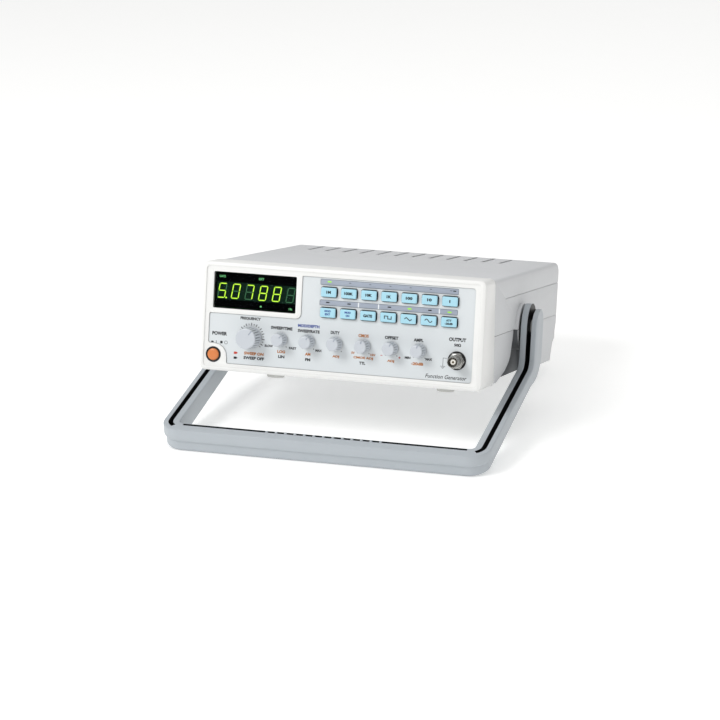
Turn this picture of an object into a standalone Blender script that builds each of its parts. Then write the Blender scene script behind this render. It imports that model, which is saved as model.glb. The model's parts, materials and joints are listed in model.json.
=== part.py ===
"""Bench function generator with a U-shaped carrying handle that doubles as a tilt stand.

The instrument is laid out level in its own frame (X right, Y back from the front rim, Z up from
the underside of the front bezel).  An empty then tips it back until the handle's crossbar and the
two rear feet rest on Z = 0, which is how it stands on a bench.
"""

import math

import bmesh
import bpy
from mathutils import Vector

MM = 0.001
GAP = 0.3

# Case
HALF_WIDTH = 125.5
BEZEL_HEIGHT = 94.0
CASE_TOP = 92.5
CASE_FLOOR = 3.0
CASE_REAR = 282.0
SEAM_Z = 44.0
WALL = 2.5
SKIRT_REAR_TOP = 31.0
SKIRT_REAR_FOOT = 45.0
CAVITY_REAR = 276.5
INNER_HALF_WIDTH = HALF_WIDTH - WALL
NARROW_HALF_WIDTH = 114.0
RECESS_FLOOR_X = 118.5
BOSS_RADIUS = 20.5
BOSS_FACE_X = 128.6

# Front face
INNER_RIM_Y = 0.8
PANEL_SEAT_Y = 3.0
FRONT_PLATE_BACK_Y = 6.0
PANEL_FACE_Y = 1.9
PANEL_BACK_Y = 2.7
PANEL_LEFT, PANEL_RIGHT = -118.3, 116.5
PANEL_FOOT, PANEL_TOP = 6.5, 87.0
DISPLAY_BOSS_RIGHT, DISPLAY_BOSS_FOOT = -36.2, 49.9
WINDOW_LEFT, WINDOW_RIGHT = -115.4, -41.0
WINDOW_FOOT, WINDOW_TOP = 54.0, 85.6
POWER_BOSS_RIGHT, POWER_BOSS_TOP = -101.3, 23.4

# Push buttons
BUTTON_WIDTH, BUTTON_HEIGHT = 13.6, 8.0
BUTTON_FIRST_X, BUTTON_PITCH = -11.8, 17.75
BUTTON_COUNT = 7
BUTTON_ROWS = (("range_button", 74.7), ("function_button", 57.2))
POWER_X, POWER_Z = -113.0, 13.8
POWER_RADIUS = 5.1

# Indicator bars above the two button rows
BAR_LEFT, BAR_RIGHT = -20.2, 101.4
BARS = (("upper_led_bar", 80.5, 85.6), ("lower_led_bar", 63.1, 67.9))

# Rotary controls
KNOB_Z = 31.3
KNOB_FIRST_X, KNOB_PITCH = -53.0, 24.6
KNOB_NAMES = ("sweep_time", "sweep_rate", "duty", "cmos", "offset", "amplitude")
FREQUENCY_X, FREQUENCY_Z = -80.0, 30.8
KNOB_LENGTH = 12.0
FREQUENCY_KNOB_LENGTH = 15.5
SHAFT_RADIUS = 3.0

# Connectors
OUTPUT_X, OUTPUT_Z = 102.8, 25.0

# Handle
PIVOT_Y, PIVOT_Z = 133.0, 45.0
ARM_INNER_X = 130.4
ARM_THICKNESS = 14.1
ARM_INNER_WALL = 5.6
CHANNEL_WIDTH = 4.2
HUB_HALF_DEPTH = 18.0
HUB_TOP_RISE = 21.0
OUTER_WALL_RISE = 16.8
LOWER_SLOPE = math.radians(20.4)
ELBOW_Z = 11.6
ELBOW_RADIUS = 12.0
BAR_REACH = 157.9
CORNER_RADIUS = 5.0
LOWER_DEPTH = 16.0
BAR_DEPTH = 20.0
STEP_INSET = 1.8

# Feet
FOOT_X = 77.3
FOOT_FRONT_Y, FOOT_REAR_Y = 70.0, 240.0
FOOT_FOOT_Z = -10.0

# Screw posts that tie the two halves of the case together
POST_X = 108.0
POST_YS = (66.0, 250.0)

FINISHES = {
    "bezel_plastic": ((0.90, 0.89, 0.86), 0.45, 0.0),
    "overlay_film": ((0.72, 0.76, 0.79), 0.50, 0.0),
    "smoked_acrylic": ((0.02, 0.03, 0.03), 0.10, 0.0),
    "display_epoxy": ((0.03, 0.06, 0.04), 0.30, 0.0),
    "led_bar_film": ((0.38, 0.43, 0.47), 0.40, 0.0),
    "button_plastic": ((0.38, 0.72, 0.85), 0.40, 0.0),
    "orange_plastic": ((0.80, 0.25, 0.06), 0.35, 0.0),
    "knob_plastic": ((0.56, 0.58, 0.64), 0.45, 0.0),
    "nickel": ((0.70, 0.69, 0.66), 0.25, 1.0),
    "cover_plastic": ((0.68, 0.69, 0.70), 0.50, 0.0),
    "handle_plastic": ((0.45, 0.50, 0.55), 0.50, 0.0),
    "black_plastic": ((0.03, 0.03, 0.03), 0.50, 0.0),
    "rear_steel": ((0.45, 0.46, 0.47), 0.45, 0.6),
    "circuit_board": ((0.04, 0.22, 0.09), 0.50, 0.0),
    "transformer_iron": ((0.25, 0.22, 0.20), 0.55, 0.4),
    "foot_rubber": ((0.28, 0.29, 0.30), 0.80, 0.0),
    "zinc_steel": ((0.60, 0.60, 0.58), 0.35, 1.0),
}


def clear_scene():
    for obj in list(bpy.data.objects):
        bpy.data.objects.remove(obj, do_unlink=True)


def material(name):
    """The Principled material of one finish, made on first use."""
    found = bpy.data.materials.get(name)
    if found:
        return found
    colour, roughness, metallic = FINISHES[name]
    made = bpy.data.materials.new(name)
    made.use_nodes = True
    shader = made.node_tree.nodes["Principled BSDF"]
    shader.inputs["Base Color"].default_value = (*colour, 1.0)
    shader.inputs["Roughness"].default_value = roughness
    shader.inputs["Metallic"].default_value = metallic
    made.diffuse_color = (*colour, 1.0)
    return made


def fillet(corners, steps=4):
    """A closed outline in millimetres whose corners (u, v, radius) are rounded with arcs."""
    outline = []
    count = len(corners)
    for i, (u, v, radius) in enumerate(corners):
        here = Vector((u, v))
        if radius <= 0:
            outline.append((u, v))
            continue
        before = (Vector(corners[i - 1][:2]) - here).normalized()
        after = (Vector(corners[(i + 1) % count][:2]) - here).normalized()
        half = before.angle(after) / 2
        reach = radius / math.tan(half)
        centre = here + (before + after).normalized() * radius / math.sin(half)
        start = here + before * reach - centre
        sweep = math.pi - 2 * half
        turn = 1 if before.cross(after) < 0 else -1
        for k in range(steps + 1):
            angle = turn * sweep * k / steps
            c, s = math.cos(angle), math.sin(angle)
            outline.append((centre.x + start.x * c - start.y * s, centre.y + start.x * s + start.y * c))
    return outline


def rounded_rect(u0, u1, v0, v1, radius, steps=3):
    return fillet([(u0, v0, radius), (u1, v0, radius), (u1, v1, radius), (u0, v1, radius)], steps)


def circle(radius, count, u=0.0, v=0.0):
    return [(u + radius * math.cos(2 * math.pi * i / count), v + radius * math.sin(2 * math.pi * i / count))
            for i in range(count)]


def hexagon(radius, count):
    """A hexagon of the given corner radius, sampled at the same angles as circle()."""
    points = []
    for i in range(count):
        angle = 2 * math.pi * i / count
        within = (angle % (math.pi / 3)) - math.pi / 6
        reach = radius * math.cos(math.pi / 6) / math.cos(within)
        points.append((reach * math.cos(angle), reach * math.sin(angle)))
    return points


def fluted(radius, depth, count):
    """A fluted circle: every second point is set in by depth."""
    return [(x * (1 - depth / radius * (i % 2)), z * (1 - depth / radius * (i % 2)))
            for i, (x, z) in enumerate(circle(radius, count))]


def place(axis, along, u, v):
    """A point in metres from a position along one axis and two across it, all in millimetres."""
    if axis == "x":
        return Vector((along, u, v)) * MM
    if axis == "y":
        return Vector((u, along, v)) * MM
    return Vector((u, v, along)) * MM


def add_loft(bm, rings):
    """Bridge a list of rings of metre points, and close both ends."""
    loops = [[bm.verts.new(p) for p in ring] for ring in rings]
    for a, b in zip(loops, loops[1:]):
        count = len(a)
        for i in range(count):
            j = (i + 1) % count
            bm.faces.new((a[i], a[j], b[j], b[i]))
    bm.faces.new(list(reversed(loops[0])))
    bm.faces.new(loops[-1])


def loft(axis, sections):
    """A closed solid through sections, each a position along the axis and an outline."""
    bm = bmesh.new()
    add_loft(bm, [[place(axis, along, u, v) for u, v in outline] for along, outline in sections])
    return bm


def add_prism(bm, axis, outline, low, high):
    add_loft(bm, [[place(axis, low, u, v) for u, v in outline], [place(axis, high, u, v) for u, v in outline]])


def prism(axis, outline, low, high):
    bm = bmesh.new()
    add_prism(bm, axis, outline, low, high)
    return bm


def prisms(axis, parts):
    """Several separate prisms in one mesh, for a cutter: each is (outline, low, high)."""
    bm = bmesh.new()
    for outline, low, high in parts:
        add_prism(bm, axis, outline, low, high)
    return bm


def make(name, bm, finish, origin=(0.0, 0.0, 0.0), smooth=False):
    """Link a mesh as a named object whose origin is at the given point in millimetres."""
    shift = Vector(origin) * MM
    bmesh.ops.translate(bm, verts=bm.verts, vec=-shift)
    bmesh.ops.recalc_face_normals(bm, faces=bm.faces)
    mesh = bpy.data.meshes.new(name)
    bm.to_mesh(mesh)
    bm.free()
    obj = bpy.data.objects.new(name, mesh)
    obj.location = shift
    if finish:
        mesh.materials.append(material(finish))
    if smooth:
        mesh.shade_smooth()
        mesh.set_sharp_from_angle(angle=math.radians(35))
    bpy.context.scene.collection.objects.link(obj)
    return obj


def copy_of(source, name, origin):
    """A second object that shares the first one's mesh, at another origin in millimetres."""
    obj = bpy.data.objects.new(name, source.data)
    obj.location = Vector(origin) * MM
    bpy.context.scene.collection.objects.link(obj)
    return obj


def combine(target, bm, operation, label):
    """Join a helper mesh to the target, or cut it away, with an exact Boolean."""
    helper = make(f"{target.name}.{label}", bm, None)
    helper.hide_render = True
    helper.display_type = "WIRE"
    modifier = target.modifiers.new(label, "BOOLEAN")
    modifier.operation = operation
    modifier.solver = "EXACT"
    modifier.object = helper
    return helper


def skirt_rear(z):
    """How far back the bezel's skirt reaches at a height: its rear edge leans back to the foot."""
    return SKIRT_REAR_FOOT + (SKIRT_REAR_TOP - SKIRT_REAR_FOOT) * z / BEZEL_HEIGHT


def button_xs():
    return [BUTTON_FIRST_X + BUTTON_PITCH * i for i in range(BUTTON_COUNT)]


def knob_places():
    """Name, x and z of all seven rotary controls."""
    small = [(name, KNOB_FIRST_X + KNOB_PITCH * i, KNOB_Z) for i, name in enumerate(KNOB_NAMES)]
    return [("frequency", FREQUENCY_X, FREQUENCY_Z)] + small


def panel_outline(inset):
    """The recessed panel: a rectangle that steps around the display boss and the power boss."""
    left, right = PANEL_LEFT + inset, PANEL_RIGHT - inset
    foot, top = PANEL_FOOT + inset, PANEL_TOP - inset
    boss_x, boss_z = DISPLAY_BOSS_RIGHT + inset, DISPLAY_BOSS_FOOT - inset
    power_x, power_z = POWER_BOSS_RIGHT + inset, POWER_BOSS_TOP + inset
    return fillet([
        (power_x, foot, 1.5), (right, foot, 2.5), (right, top, 2.5), (boss_x, top, 1.0),
        (boss_x, boss_z, 4.5), (left, boss_z, 1.5), (left, power_z, 2.0), (power_x, power_z, 11.0),
    ])


def face_holes(low, high):
    """Every hole that goes through both the panel and the plate behind it."""
    holes = []
    for _, z in BUTTON_ROWS:
        for x in button_xs():
            w, h = BUTTON_WIDTH / 2 + GAP, BUTTON_HEIGHT / 2 + GAP
            holes.append((rounded_rect(x - w, x + w, z - h, z + h, 1.3, 1), low, high))
    for _, z0, z1 in BARS:
        holes.append((rounded_rect(BAR_LEFT, BAR_RIGHT, z0, z1, 0.8, 2), low, high))
    for _, x, z in knob_places():
        holes.append((circle(4.6, 12, x, z), low, high))
    holes.append((circle(5.2, 20, OUTPUT_X, OUTPUT_Z), low, high))
    return holes


def build_front():
    """Bezel, overlay panel, display window, display module and the two indicator bars."""
    outline = rounded_rect(-HALF_WIDTH, HALF_WIDTH, 0.0, BEZEL_HEIGHT, 5.0, 4)
    lip = rounded_rect(-HALF_WIDTH + 1.8, HALF_WIDTH - 1.8, 1.8, BEZEL_HEIGHT - 1.8, 3.8, 4)
    mid = rounded_rect(-HALF_WIDTH + 0.5, HALF_WIDTH - 0.5, 0.5, BEZEL_HEIGHT - 0.5, 4.6, 4)
    bm = bmesh.new()
    rings = [
        [place("y", 0.0, u, v) for u, v in lip],
        [place("y", 0.7, u, v) for u, v in mid],
        [place("y", 2.2, u, v) for u, v in outline],
        [place("y", skirt_rear(v), u, v) for u, v in outline],
    ]
    add_loft(bm, rings)
    bezel = make("front_bezel", bm, "bezel_plastic")
    cavity = rounded_rect(-INNER_HALF_WIDTH, INNER_HALF_WIDTH, WALL, BEZEL_HEIGHT - WALL, 3.0, 2)
    combine(bezel, prism("y", cavity, FRONT_PLATE_BACK_Y, 60.0), "DIFFERENCE", "cavity")
    step = rounded_rect(-HALF_WIDTH + 3.6, HALF_WIDTH - 4.2, 3.4, BEZEL_HEIGHT - 3.4, 3.0, 3)
    combine(bezel, prism("y", step, -2.0, INNER_RIM_Y), "DIFFERENCE", "rim_step")
    combine(bezel, prism("y", panel_outline(0.0), -1.0, PANEL_SEAT_Y), "DIFFERENCE", "panel_recess")
    holes = face_holes(1.0, 8.0)
    window = rounded_rect(WINDOW_LEFT, WINDOW_RIGHT, WINDOW_FOOT, WINDOW_TOP, 1.0, 2)
    holes.append((window, -1.0, 8.0))
    holes.append((circle(POWER_RADIUS + 0.8, 20, POWER_X, POWER_Z), -1.0, 8.0))
    combine(bezel, prisms("y", holes), "DIFFERENCE", "openings")

    panel = make("control_panel", prism("y", panel_outline(GAP), PANEL_FACE_Y, PANEL_BACK_Y), "overlay_film")
    combine(panel, prisms("y", face_holes(0.0, 5.0)), "DIFFERENCE", "openings")

    pane = rounded_rect(WINDOW_LEFT + GAP, WINDOW_RIGHT - GAP, WINDOW_FOOT + GAP, WINDOW_TOP - GAP, 0.8, 2)
    make("display_window", prism("y", pane, 1.5, 3.5), "smoked_acrylic")
    module = rounded_rect(WINDOW_LEFT + 1.5, WINDOW_RIGHT - 1.5, WINDOW_FOOT + 1.5, WINDOW_TOP - 1.5, 0.6, 1)
    make("display_module", prism("y", module, 3.9, 12.7), "display_epoxy")
    for name, z0, z1 in BARS:
        bar = rounded_rect(BAR_LEFT + GAP, BAR_RIGHT - GAP, z0 + GAP, z1 - GAP, 0.5, 2)
        make(name, prism("y", bar, 2.0, 5.6), "led_bar_film")


def button_mesh(width, height, radius, front, back):
    """A cap with a chamfered face, a flange that stops it from falling out, and a stem."""
    def outline(grow):
        w, h = width / 2 + grow, height / 2 + grow
        return rounded_rect(-w, w, -h, h, max(radius + grow, 0.3), 1)

    stem = rounded_rect(-2.0, 2.0, -2.0, 2.0, 0.3, 1)
    return loft("y", [
        (front, outline(-0.6)), (front + 0.5, outline(0.0)), (FRONT_PLATE_BACK_Y + 0.4, outline(0.0)),
        (FRONT_PLATE_BACK_Y + 0.4, outline(0.8)), (FRONT_PLATE_BACK_Y + 1.4, outline(0.8)),
        (FRONT_PLATE_BACK_Y + 1.4, stem), (back, stem),
    ])


def build_buttons():
    first = None
    for row, z in BUTTON_ROWS:
        for i, x in enumerate(button_xs()):
            name = f"{row}_{i + 1}"
            if first is None:
                first = make(name, button_mesh(BUTTON_WIDTH, BUTTON_HEIGHT, 1.0, -1.2, 11.4), "button_plastic")
                first.location = Vector((x, 0.0, z)) * MM
            else:
                copy_of(first, name, (x, 0.0, z))
    power = make("power_button", loft("y", [
        (-0.7, circle(4.2, 20)), (-0.1, circle(POWER_RADIUS, 20)), (9.9, circle(POWER_RADIUS, 20)),
        (9.9, circle(6.6, 20)), (10.9, circle(6.6, 20)), (10.9, circle(2.4, 20)), (12.6, circle(2.4, 20)),
    ]), "orange_plastic", smooth=True)
    power.location = Vector((POWER_X, 0.0, POWER_Z)) * MM


def knob_mesh(base, front, length, count):
    """A fluted knob with a chamfered nose and a blind bore for its shaft."""
    back = PANEL_FACE_Y - 1.0
    nose = back - length
    bore = SHAFT_RADIUS + GAP
    return loft("y", [
        (nose, circle(front - 0.9, count)), (nose + 0.6, circle(front - 0.2, count)),
        (nose + 1.4, fluted(front, 0.35, count)), (back - 1.2, fluted(base, 0.35, count)),
        (back - 0.8, circle(base + 0.1, count)), (back, circle(base + 0.1, count)),
        (back, circle(bore, count)), (nose + 3.2, circle(bore, count)),
    ])


def shaft_mesh(length):
    """A round shaft that starts inside the knob and ends in a stop collar behind the board."""
    nose = PANEL_FACE_Y - 1.0 - length + 3.5
    return loft("y", [
        (nose, circle(SHAFT_RADIUS, 12)), (19.6, circle(SHAFT_RADIUS, 12)), (19.6, circle(4.4, 12)),
        (21.2, circle(4.4, 12)), (21.2, circle(SHAFT_RADIUS, 12)), (24.0, circle(SHAFT_RADIUS, 12)),
    ])


def build_knobs():
    big_knob = make("frequency_knob", knob_mesh(9.6, 9.0, FREQUENCY_KNOB_LENGTH, 28), "knob_plastic", smooth=True)
    big_knob.location = Vector((FREQUENCY_X, 0.0, FREQUENCY_Z)) * MM
    big_shaft = make("frequency_shaft", shaft_mesh(FREQUENCY_KNOB_LENGTH), "nickel", smooth=True)
    big_shaft.location = big_knob.location
    first, shaft = None, None
    for i, name in enumerate(KNOB_NAMES):
        origin = (KNOB_FIRST_X + KNOB_PITCH * i, 0.0, KNOB_Z)
        if first is None:
            first = make(f"{name}_knob", knob_mesh(6.0, 5.5, KNOB_LENGTH, 20), "knob_plastic", smooth=True)
            first.location = Vector(origin) * MM
            shaft = make(f"{name}_shaft", shaft_mesh(KNOB_LENGTH), "nickel", smooth=True)
            shaft.location = Vector(origin) * MM
        else:
            copy_of(first, f"{name}_knob", origin)
            copy_of(shaft, f"{name}_shaft", origin)


def bnc_mesh(tail):
    """A panel BNC socket: hexagonal flange, barrel, open mouth and the insulator inside it."""
    count = 18
    bm = loft("y", [
        (tail, circle(4.7, count)), (PANEL_FACE_Y - 0.4, circle(4.7, count)),
        (PANEL_FACE_Y - 0.4, hexagon(8.2, count)), (-1.6, hexagon(8.2, count)),
        (-1.6, circle(6.6, count)), (-3.0, circle(6.6, count)), (-3.0, circle(4.85, count)),
        (-13.0, circle(4.85, count)), (-13.0, circle(4.05, count)), (-3.6, circle(4.05, count)),
        (-3.6, circle(2.4, count)), (-11.0, circle(2.4, count)),
    ])
    return bm


def build_connectors():
    output = make("output_bnc", bnc_mesh(12.4), "nickel", smooth=True)
    output.location = Vector((OUTPUT_X, 0.0, OUTPUT_Z)) * MM
    lugs = prism("z", circle(1.0, 10, OUTPUT_X, -10.4), OUTPUT_Z - 5.9, OUTPUT_Z - 4.3)
    add_prism(lugs, "z", circle(1.0, 10, OUTPUT_X, -10.4), OUTPUT_Z + 4.3, OUTPUT_Z + 5.9)
    combine(output, lugs, "UNION", "bayonet_lugs")

    plate = rounded_rect(-113.4, 113.4, 28.0, 86.0, 2.0, 2)
    rear = make("rear_panel", prism("y", plate, 273.6, 276.1), "rear_steel")
    cuts = [
        (rounded_rect(-96.3, -67.7, 45.7, 68.3, 1.0, 2), 270.0, 280.0),
        (circle(6.4, 20, -50.0, 57.0), 270.0, 280.0),
        (circle(5.2, 20, 40.0, 57.0), 270.0, 280.0),
        (circle(5.2, 20, 75.0, 57.0), 270.0, 280.0),
    ]
    combine(rear, prisms("y", cuts), "DIFFERENCE", "openings")

    inlet = make("mains_inlet", loft("y", [
        (258.0, rounded_rect(-96.0, -68.0, 46.0, 68.0, 1.0, 2)),
        (276.4, rounded_rect(-96.0, -68.0, 46.0, 68.0, 1.0, 2)),
        (276.4, rounded_rect(-98.0, -66.0, 44.0, 70.0, 2.0, 2)),
        (279.4, rounded_rect(-98.0, -66.0, 44.0, 70.0, 2.0, 2)),
        (279.4, rounded_rect(-94.0, -70.0, 48.5, 65.5, 2.0, 2)),
        (262.0, rounded_rect(-94.0, -70.0, 48.5, 65.5, 2.0, 2)),
    ]), "black_plastic")
    blades = []
    for x, z in ((-89.0, 55.0), (-82.0, 59.0), (-75.0, 55.0)):
        blades.append((rounded_rect(x - 1.0, x + 1.0, z - 2.0, z + 2.0, 0.2, 1), 260.0, 268.5))
    combine(inlet, prisms("y", blades), "UNION", "blades")

    fuse = make("fuse_holder", loft("y", [
        (256.0, circle(6.0, 20)), (276.4, circle(6.0, 20)), (276.4, circle(8.0, 20)),
        (278.4, circle(8.0, 20)), (278.4, circle(6.6, 20)), (284.0, circle(6.2, 20)),
    ]), "black_plastic", smooth=True)
    fuse.location = Vector((-50.0, 0.0, 57.0)) * MM

    sync = make("sync_bnc", bnc_mesh(12.4), "nickel", smooth=True)
    sync.rotation_euler = (0.0, 0.0, math.pi)
    sync.location = Vector((40.0, 276.1 + PANEL_FACE_Y, 57.0)) * MM
    control = copy_of(sync, "control_input_bnc", (75.0, 276.1 + PANEL_FACE_Y, 57.0))
    control.rotation_euler = (0.0, 0.0, math.pi)


def boss(side, low, high):
    """One half of a round pivot boss, between two heights, as a prism across the side wall."""
    points = [(PIVOT_Y + u, PIVOT_Z + v) for u, v in circle(BOSS_RADIUS, 40)]
    clipped = [(u, min(max(v, low), high)) for u, v in points]
    outline = []
    for u, v in clipped:
        if not outline or (abs(u - outline[-1][0]) + abs(v - outline[-1][1])) > 1e-6:
            outline.append((u, v))
    edge = low if low > PIVOT_Z - BOSS_RADIUS else high
    on_edge = [p for p in outline if abs(p[1] - edge) < 1e-6]
    reach = math.sqrt(BOSS_RADIUS**2 - (edge - PIVOT_Z) ** 2)
    rest = [p for p in outline if abs(p[1] - edge) >= 1e-6 and on_edge]
    rest.sort(key=lambda p: math.atan2(p[1] - PIVOT_Z, p[0] - PIVOT_Y) if edge == low
              else math.atan2(-(p[1] - PIVOT_Z), p[0] - PIVOT_Y))
    outline = [(PIVOT_Y + reach, edge)] + rest + [(PIVOT_Y - reach, edge)]
    near, far = sorted((side * 116.0, side * BOSS_FACE_X))
    return outline, near, far


def build_case():
    """The two moulded halves of the case, which meet at the seam."""
    cover_foot = SEAM_Z + GAP / 2
    outer = fillet([(-HALF_WIDTH, cover_foot, 0), (HALF_WIDTH, cover_foot, 0),
                    (HALF_WIDTH, CASE_TOP, 3.0), (-HALF_WIDTH, CASE_TOP, 3.0)], 3)
    rings = []
    rings.append([place("y", skirt_rear(v) + GAP, u, v) for u, v in outer])
    for angle in (0, 30, 60, 90):
        drop = 7.0 * (1 - math.cos(math.radians(angle)))
        along = CASE_REAR - 7.0 + 7.0 * math.sin(math.radians(angle))
        ring = []
        for u, v in outer:
            share = (v - cover_foot) / (CASE_TOP - cover_foot)
            ring.append(place("y", along, u, v - drop * share))
        rings.append(ring)
    bm = bmesh.new()
    add_loft(bm, rings)
    cover = make("top_cover", bm, "cover_plastic")
    cavity = fillet([(-INNER_HALF_WIDTH, 30.0, 0), (INNER_HALF_WIDTH, 30.0, 0),
                     (INNER_HALF_WIDTH, CASE_TOP - WALL, 1.5), (-INNER_HALF_WIDTH, CASE_TOP - WALL, 1.5)], 2)
    combine(cover, prism("y", cavity, 10.0, CAVITY_REAR), "DIFFERENCE", "cavity")
    posts = prisms("z", [(circle(4.5, 14, sx * POST_X, y), cover_foot, CASE_TOP - 1.0)
                         for sx in (-1, 1) for y in POST_YS])
    combine(cover, posts, "UNION", "posts")
    bosses = prisms("x", [])
    for side in (-1, 1):
        outline, _, _ = boss(side, cover_foot, 200.0)
        near, far = sorted((side * 124.0, side * BOSS_FACE_X))
        add_prism(bosses, "x", outline, near, far)
    combine(cover, bosses, "UNION", "bosses")
    cuts = prism("y", rounded_rect(-109.0, 109.0, 20.0, 82.0, 2.0, 2), 270.0, 290.0)
    for i in range(12):
        x = -98.5 + 16.53 * i
        add_prism(cuts, "y", rounded_rect(x - 1.6, x + 1.6, 86.0, 97.0, 0.5, 1), 221.0, 274.0)
    for side in (-1, 1):
        near, far = sorted((side * 110.0, side * 132.0))
        add_prism(cuts, "x", circle(6.3, 20, PIVOT_Y, PIVOT_Z), near, far)
        near, far = sorted((side * (HALF_WIDTH - 0.6), side * (HALF_WIDTH + 2.0)))
        add_prism(cuts, "x", rounded_rect(72.0, 300.0, 73.6, 74.4, 0.2, 1), near, far)
        for y in POST_YS:
            add_prism(cuts, "z", circle(1.8, 10, side * POST_X, y), 40.0, 62.0)
    combine(cover, cuts, "DIFFERENCE", "openings")

    base_top = SEAM_Z - GAP / 2
    profile = [(skirt_rear(CASE_FLOOR) + GAP, CASE_FLOOR), (265.0, CASE_FLOOR), (272.0, 19.0), (279.0, 23.0),
               (279.0, 30.0), (CASE_REAR, 36.0), (CASE_REAR, base_top), (skirt_rear(base_top) + GAP, base_top)]
    base = make("bottom_case", prism("x", profile, -HALF_WIDTH, HALF_WIDTH), "cover_plastic")
    bm = prism("x", [(30.0, 5.5), (262.0, 5.5), (268.5, 21.0), (CAVITY_REAR, 25.5), (CAVITY_REAR, 60.0),
                     (30.0, 60.0)], -NARROW_HALF_WIDTH, NARROW_HALF_WIDTH)
    combine(base, bm, "DIFFERENCE", "cavity")
    wide = prism("x", [(172.0, 6.5), (260.0, 6.5), (266.5, 22.0), (275.5, 27.0), (275.5, 61.0), (172.0, 61.0)],
                 -INNER_HALF_WIDTH, INNER_HALF_WIDTH)
    combine(base, wide, "DIFFERENCE", "rear_cavity")
    recess = fillet([(109.4, 50.0, 0), (108.5, 38.0, 10), (100.5, 18.5, 14), (84.0, 10.5, 20), (50.0, 2.0, 0),
                     (50.0, -6.0, 0), (168.0, -6.0, 0), (157.0, 22.0, 10), (157.0, 50.0, 0)], 4)
    sides = prisms("x", [])
    for side in (-1, 1):
        near, far = sorted((side * RECESS_FLOOR_X, side * 140.0))
        add_prism(sides, "x", recess, near, far)
    combine(base, sides, "DIFFERENCE", "handle_recess")
    posts = prisms("z", [(circle(4.5, 14, sx * POST_X, y), CASE_FLOOR + 1.0, base_top)
                         for sx in (-1, 1) for y in POST_YS])
    for sx in (-1, 1):
        for y in (90.0, 230.0):
            add_prism(posts, "z", circle(3.5, 12, sx * 88.0, y), CASE_FLOOR + 1.0, 11.7)
    combine(base, posts, "UNION", "posts")
    bosses = prisms("x", [])
    for side in (-1, 1):
        outline, near, far = boss(side, -200.0, base_top)
        add_prism(bosses, "x", outline, near, far)
    combine(base, bosses, "UNION", "bosses")
    cuts = prism("y", rounded_rect(-109.0, 109.0, 31.0, 70.0, 2.0, 2), 270.0, 290.0)
    for side in (-1, 1):
        near, far = sorted((side * 110.0, side * 132.0))
        add_prism(cuts, "x", circle(6.3, 20, PIVOT_Y, PIVOT_Z), near, far)
        for y in POST_YS:
            add_loft(cuts, [[place("z", along, u, v) for u, v in circle(radius, 12, side * POST_X, y)]
                            for along, radius in ((-1.0, 3.3), (8.0, 3.3), (8.0, 1.8), (50.0, 1.8))])
    for i in range(9):
        x = -64.0 + 16.0 * i
        add_prism(cuts, "z", rounded_rect(x - 1.6, x + 1.6, 100.0, 150.0, 1.0, 2), 0.0, 7.0)
    combine(base, cuts, "DIFFERENCE", "openings")


def build_insides():
    """Circuit boards and transformer."""
    board = make("control_board", prism("y", rounded_rect(-118.0, 118.0, 7.0, 89.0, 1.5, 1), 13.0, 14.6),
                 "circuit_board")
    bushings = prisms("y", [(circle(4.2, 12, x, z), 3.6, 14.0) for _, x, z in knob_places()])
    combine(board, bushings, "UNION", "bushings")
    bores = prisms("y", [(circle(SHAFT_RADIUS + GAP, 12, x, z), 0.0, 20.0) for _, x, z in knob_places()])
    combine(board, bores, "DIFFERENCE", "bores")
    make("main_board", prism("z", rounded_rect(-100.0, 100.0, 58.0, 256.0, 2.0, 1), 12.0, 13.6), "circuit_board")
    core = make("transformer", prism("y", rounded_rect(-94.0, -38.0, 14.0, 60.0, 1.0, 1), 186.0, 212.0),
                "transformer_iron")
    combine(core, prism("y", rounded_rect(-84.0, -48.0, 20.0, 54.0, 4.0, 2), 178.0, 220.0), "UNION", "winding")


def build_feet():
    first = None
    for name, x, y in (("front_foot_left", -FOOT_X, FOOT_FRONT_Y), ("front_foot_right", FOOT_X, FOOT_FRONT_Y),
                       ("rear_foot_left", -FOOT_X, FOOT_REAR_Y), ("rear_foot_right", FOOT_X, FOOT_REAR_Y)):
        if first is None:
            first = make(name, loft("z", [
                (FOOT_FOOT_Z, circle(7.4, 24)), (FOOT_FOOT_Z + 1.0, circle(8.4, 24)),
                (CASE_FLOOR - GAP, circle(9.2, 24)),
            ]), "foot_rubber", smooth=True)
            first.location = Vector((x, y, 0.0)) * MM
        else:
            copy_of(first, name, (x, y, 0.0))
    first = None
    number = 1
    for side in (-1, 1):
        for y in POST_YS:
            name = f"case_screw_{number}"
            if first is None:
                first = make(name, loft("z", [
                    (5.0, circle(2.9, 10)), (7.7, circle(2.9, 10)), (7.7, circle(1.5, 10)),
                    (58.0, circle(1.5, 10)),
                ]), "zinc_steel", smooth=True)
                first.location = Vector((side * POST_X, y, 0.0)) * MM
            else:
                copy_of(first, name, (side * POST_X, y, 0.0))
            number += 1


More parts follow.
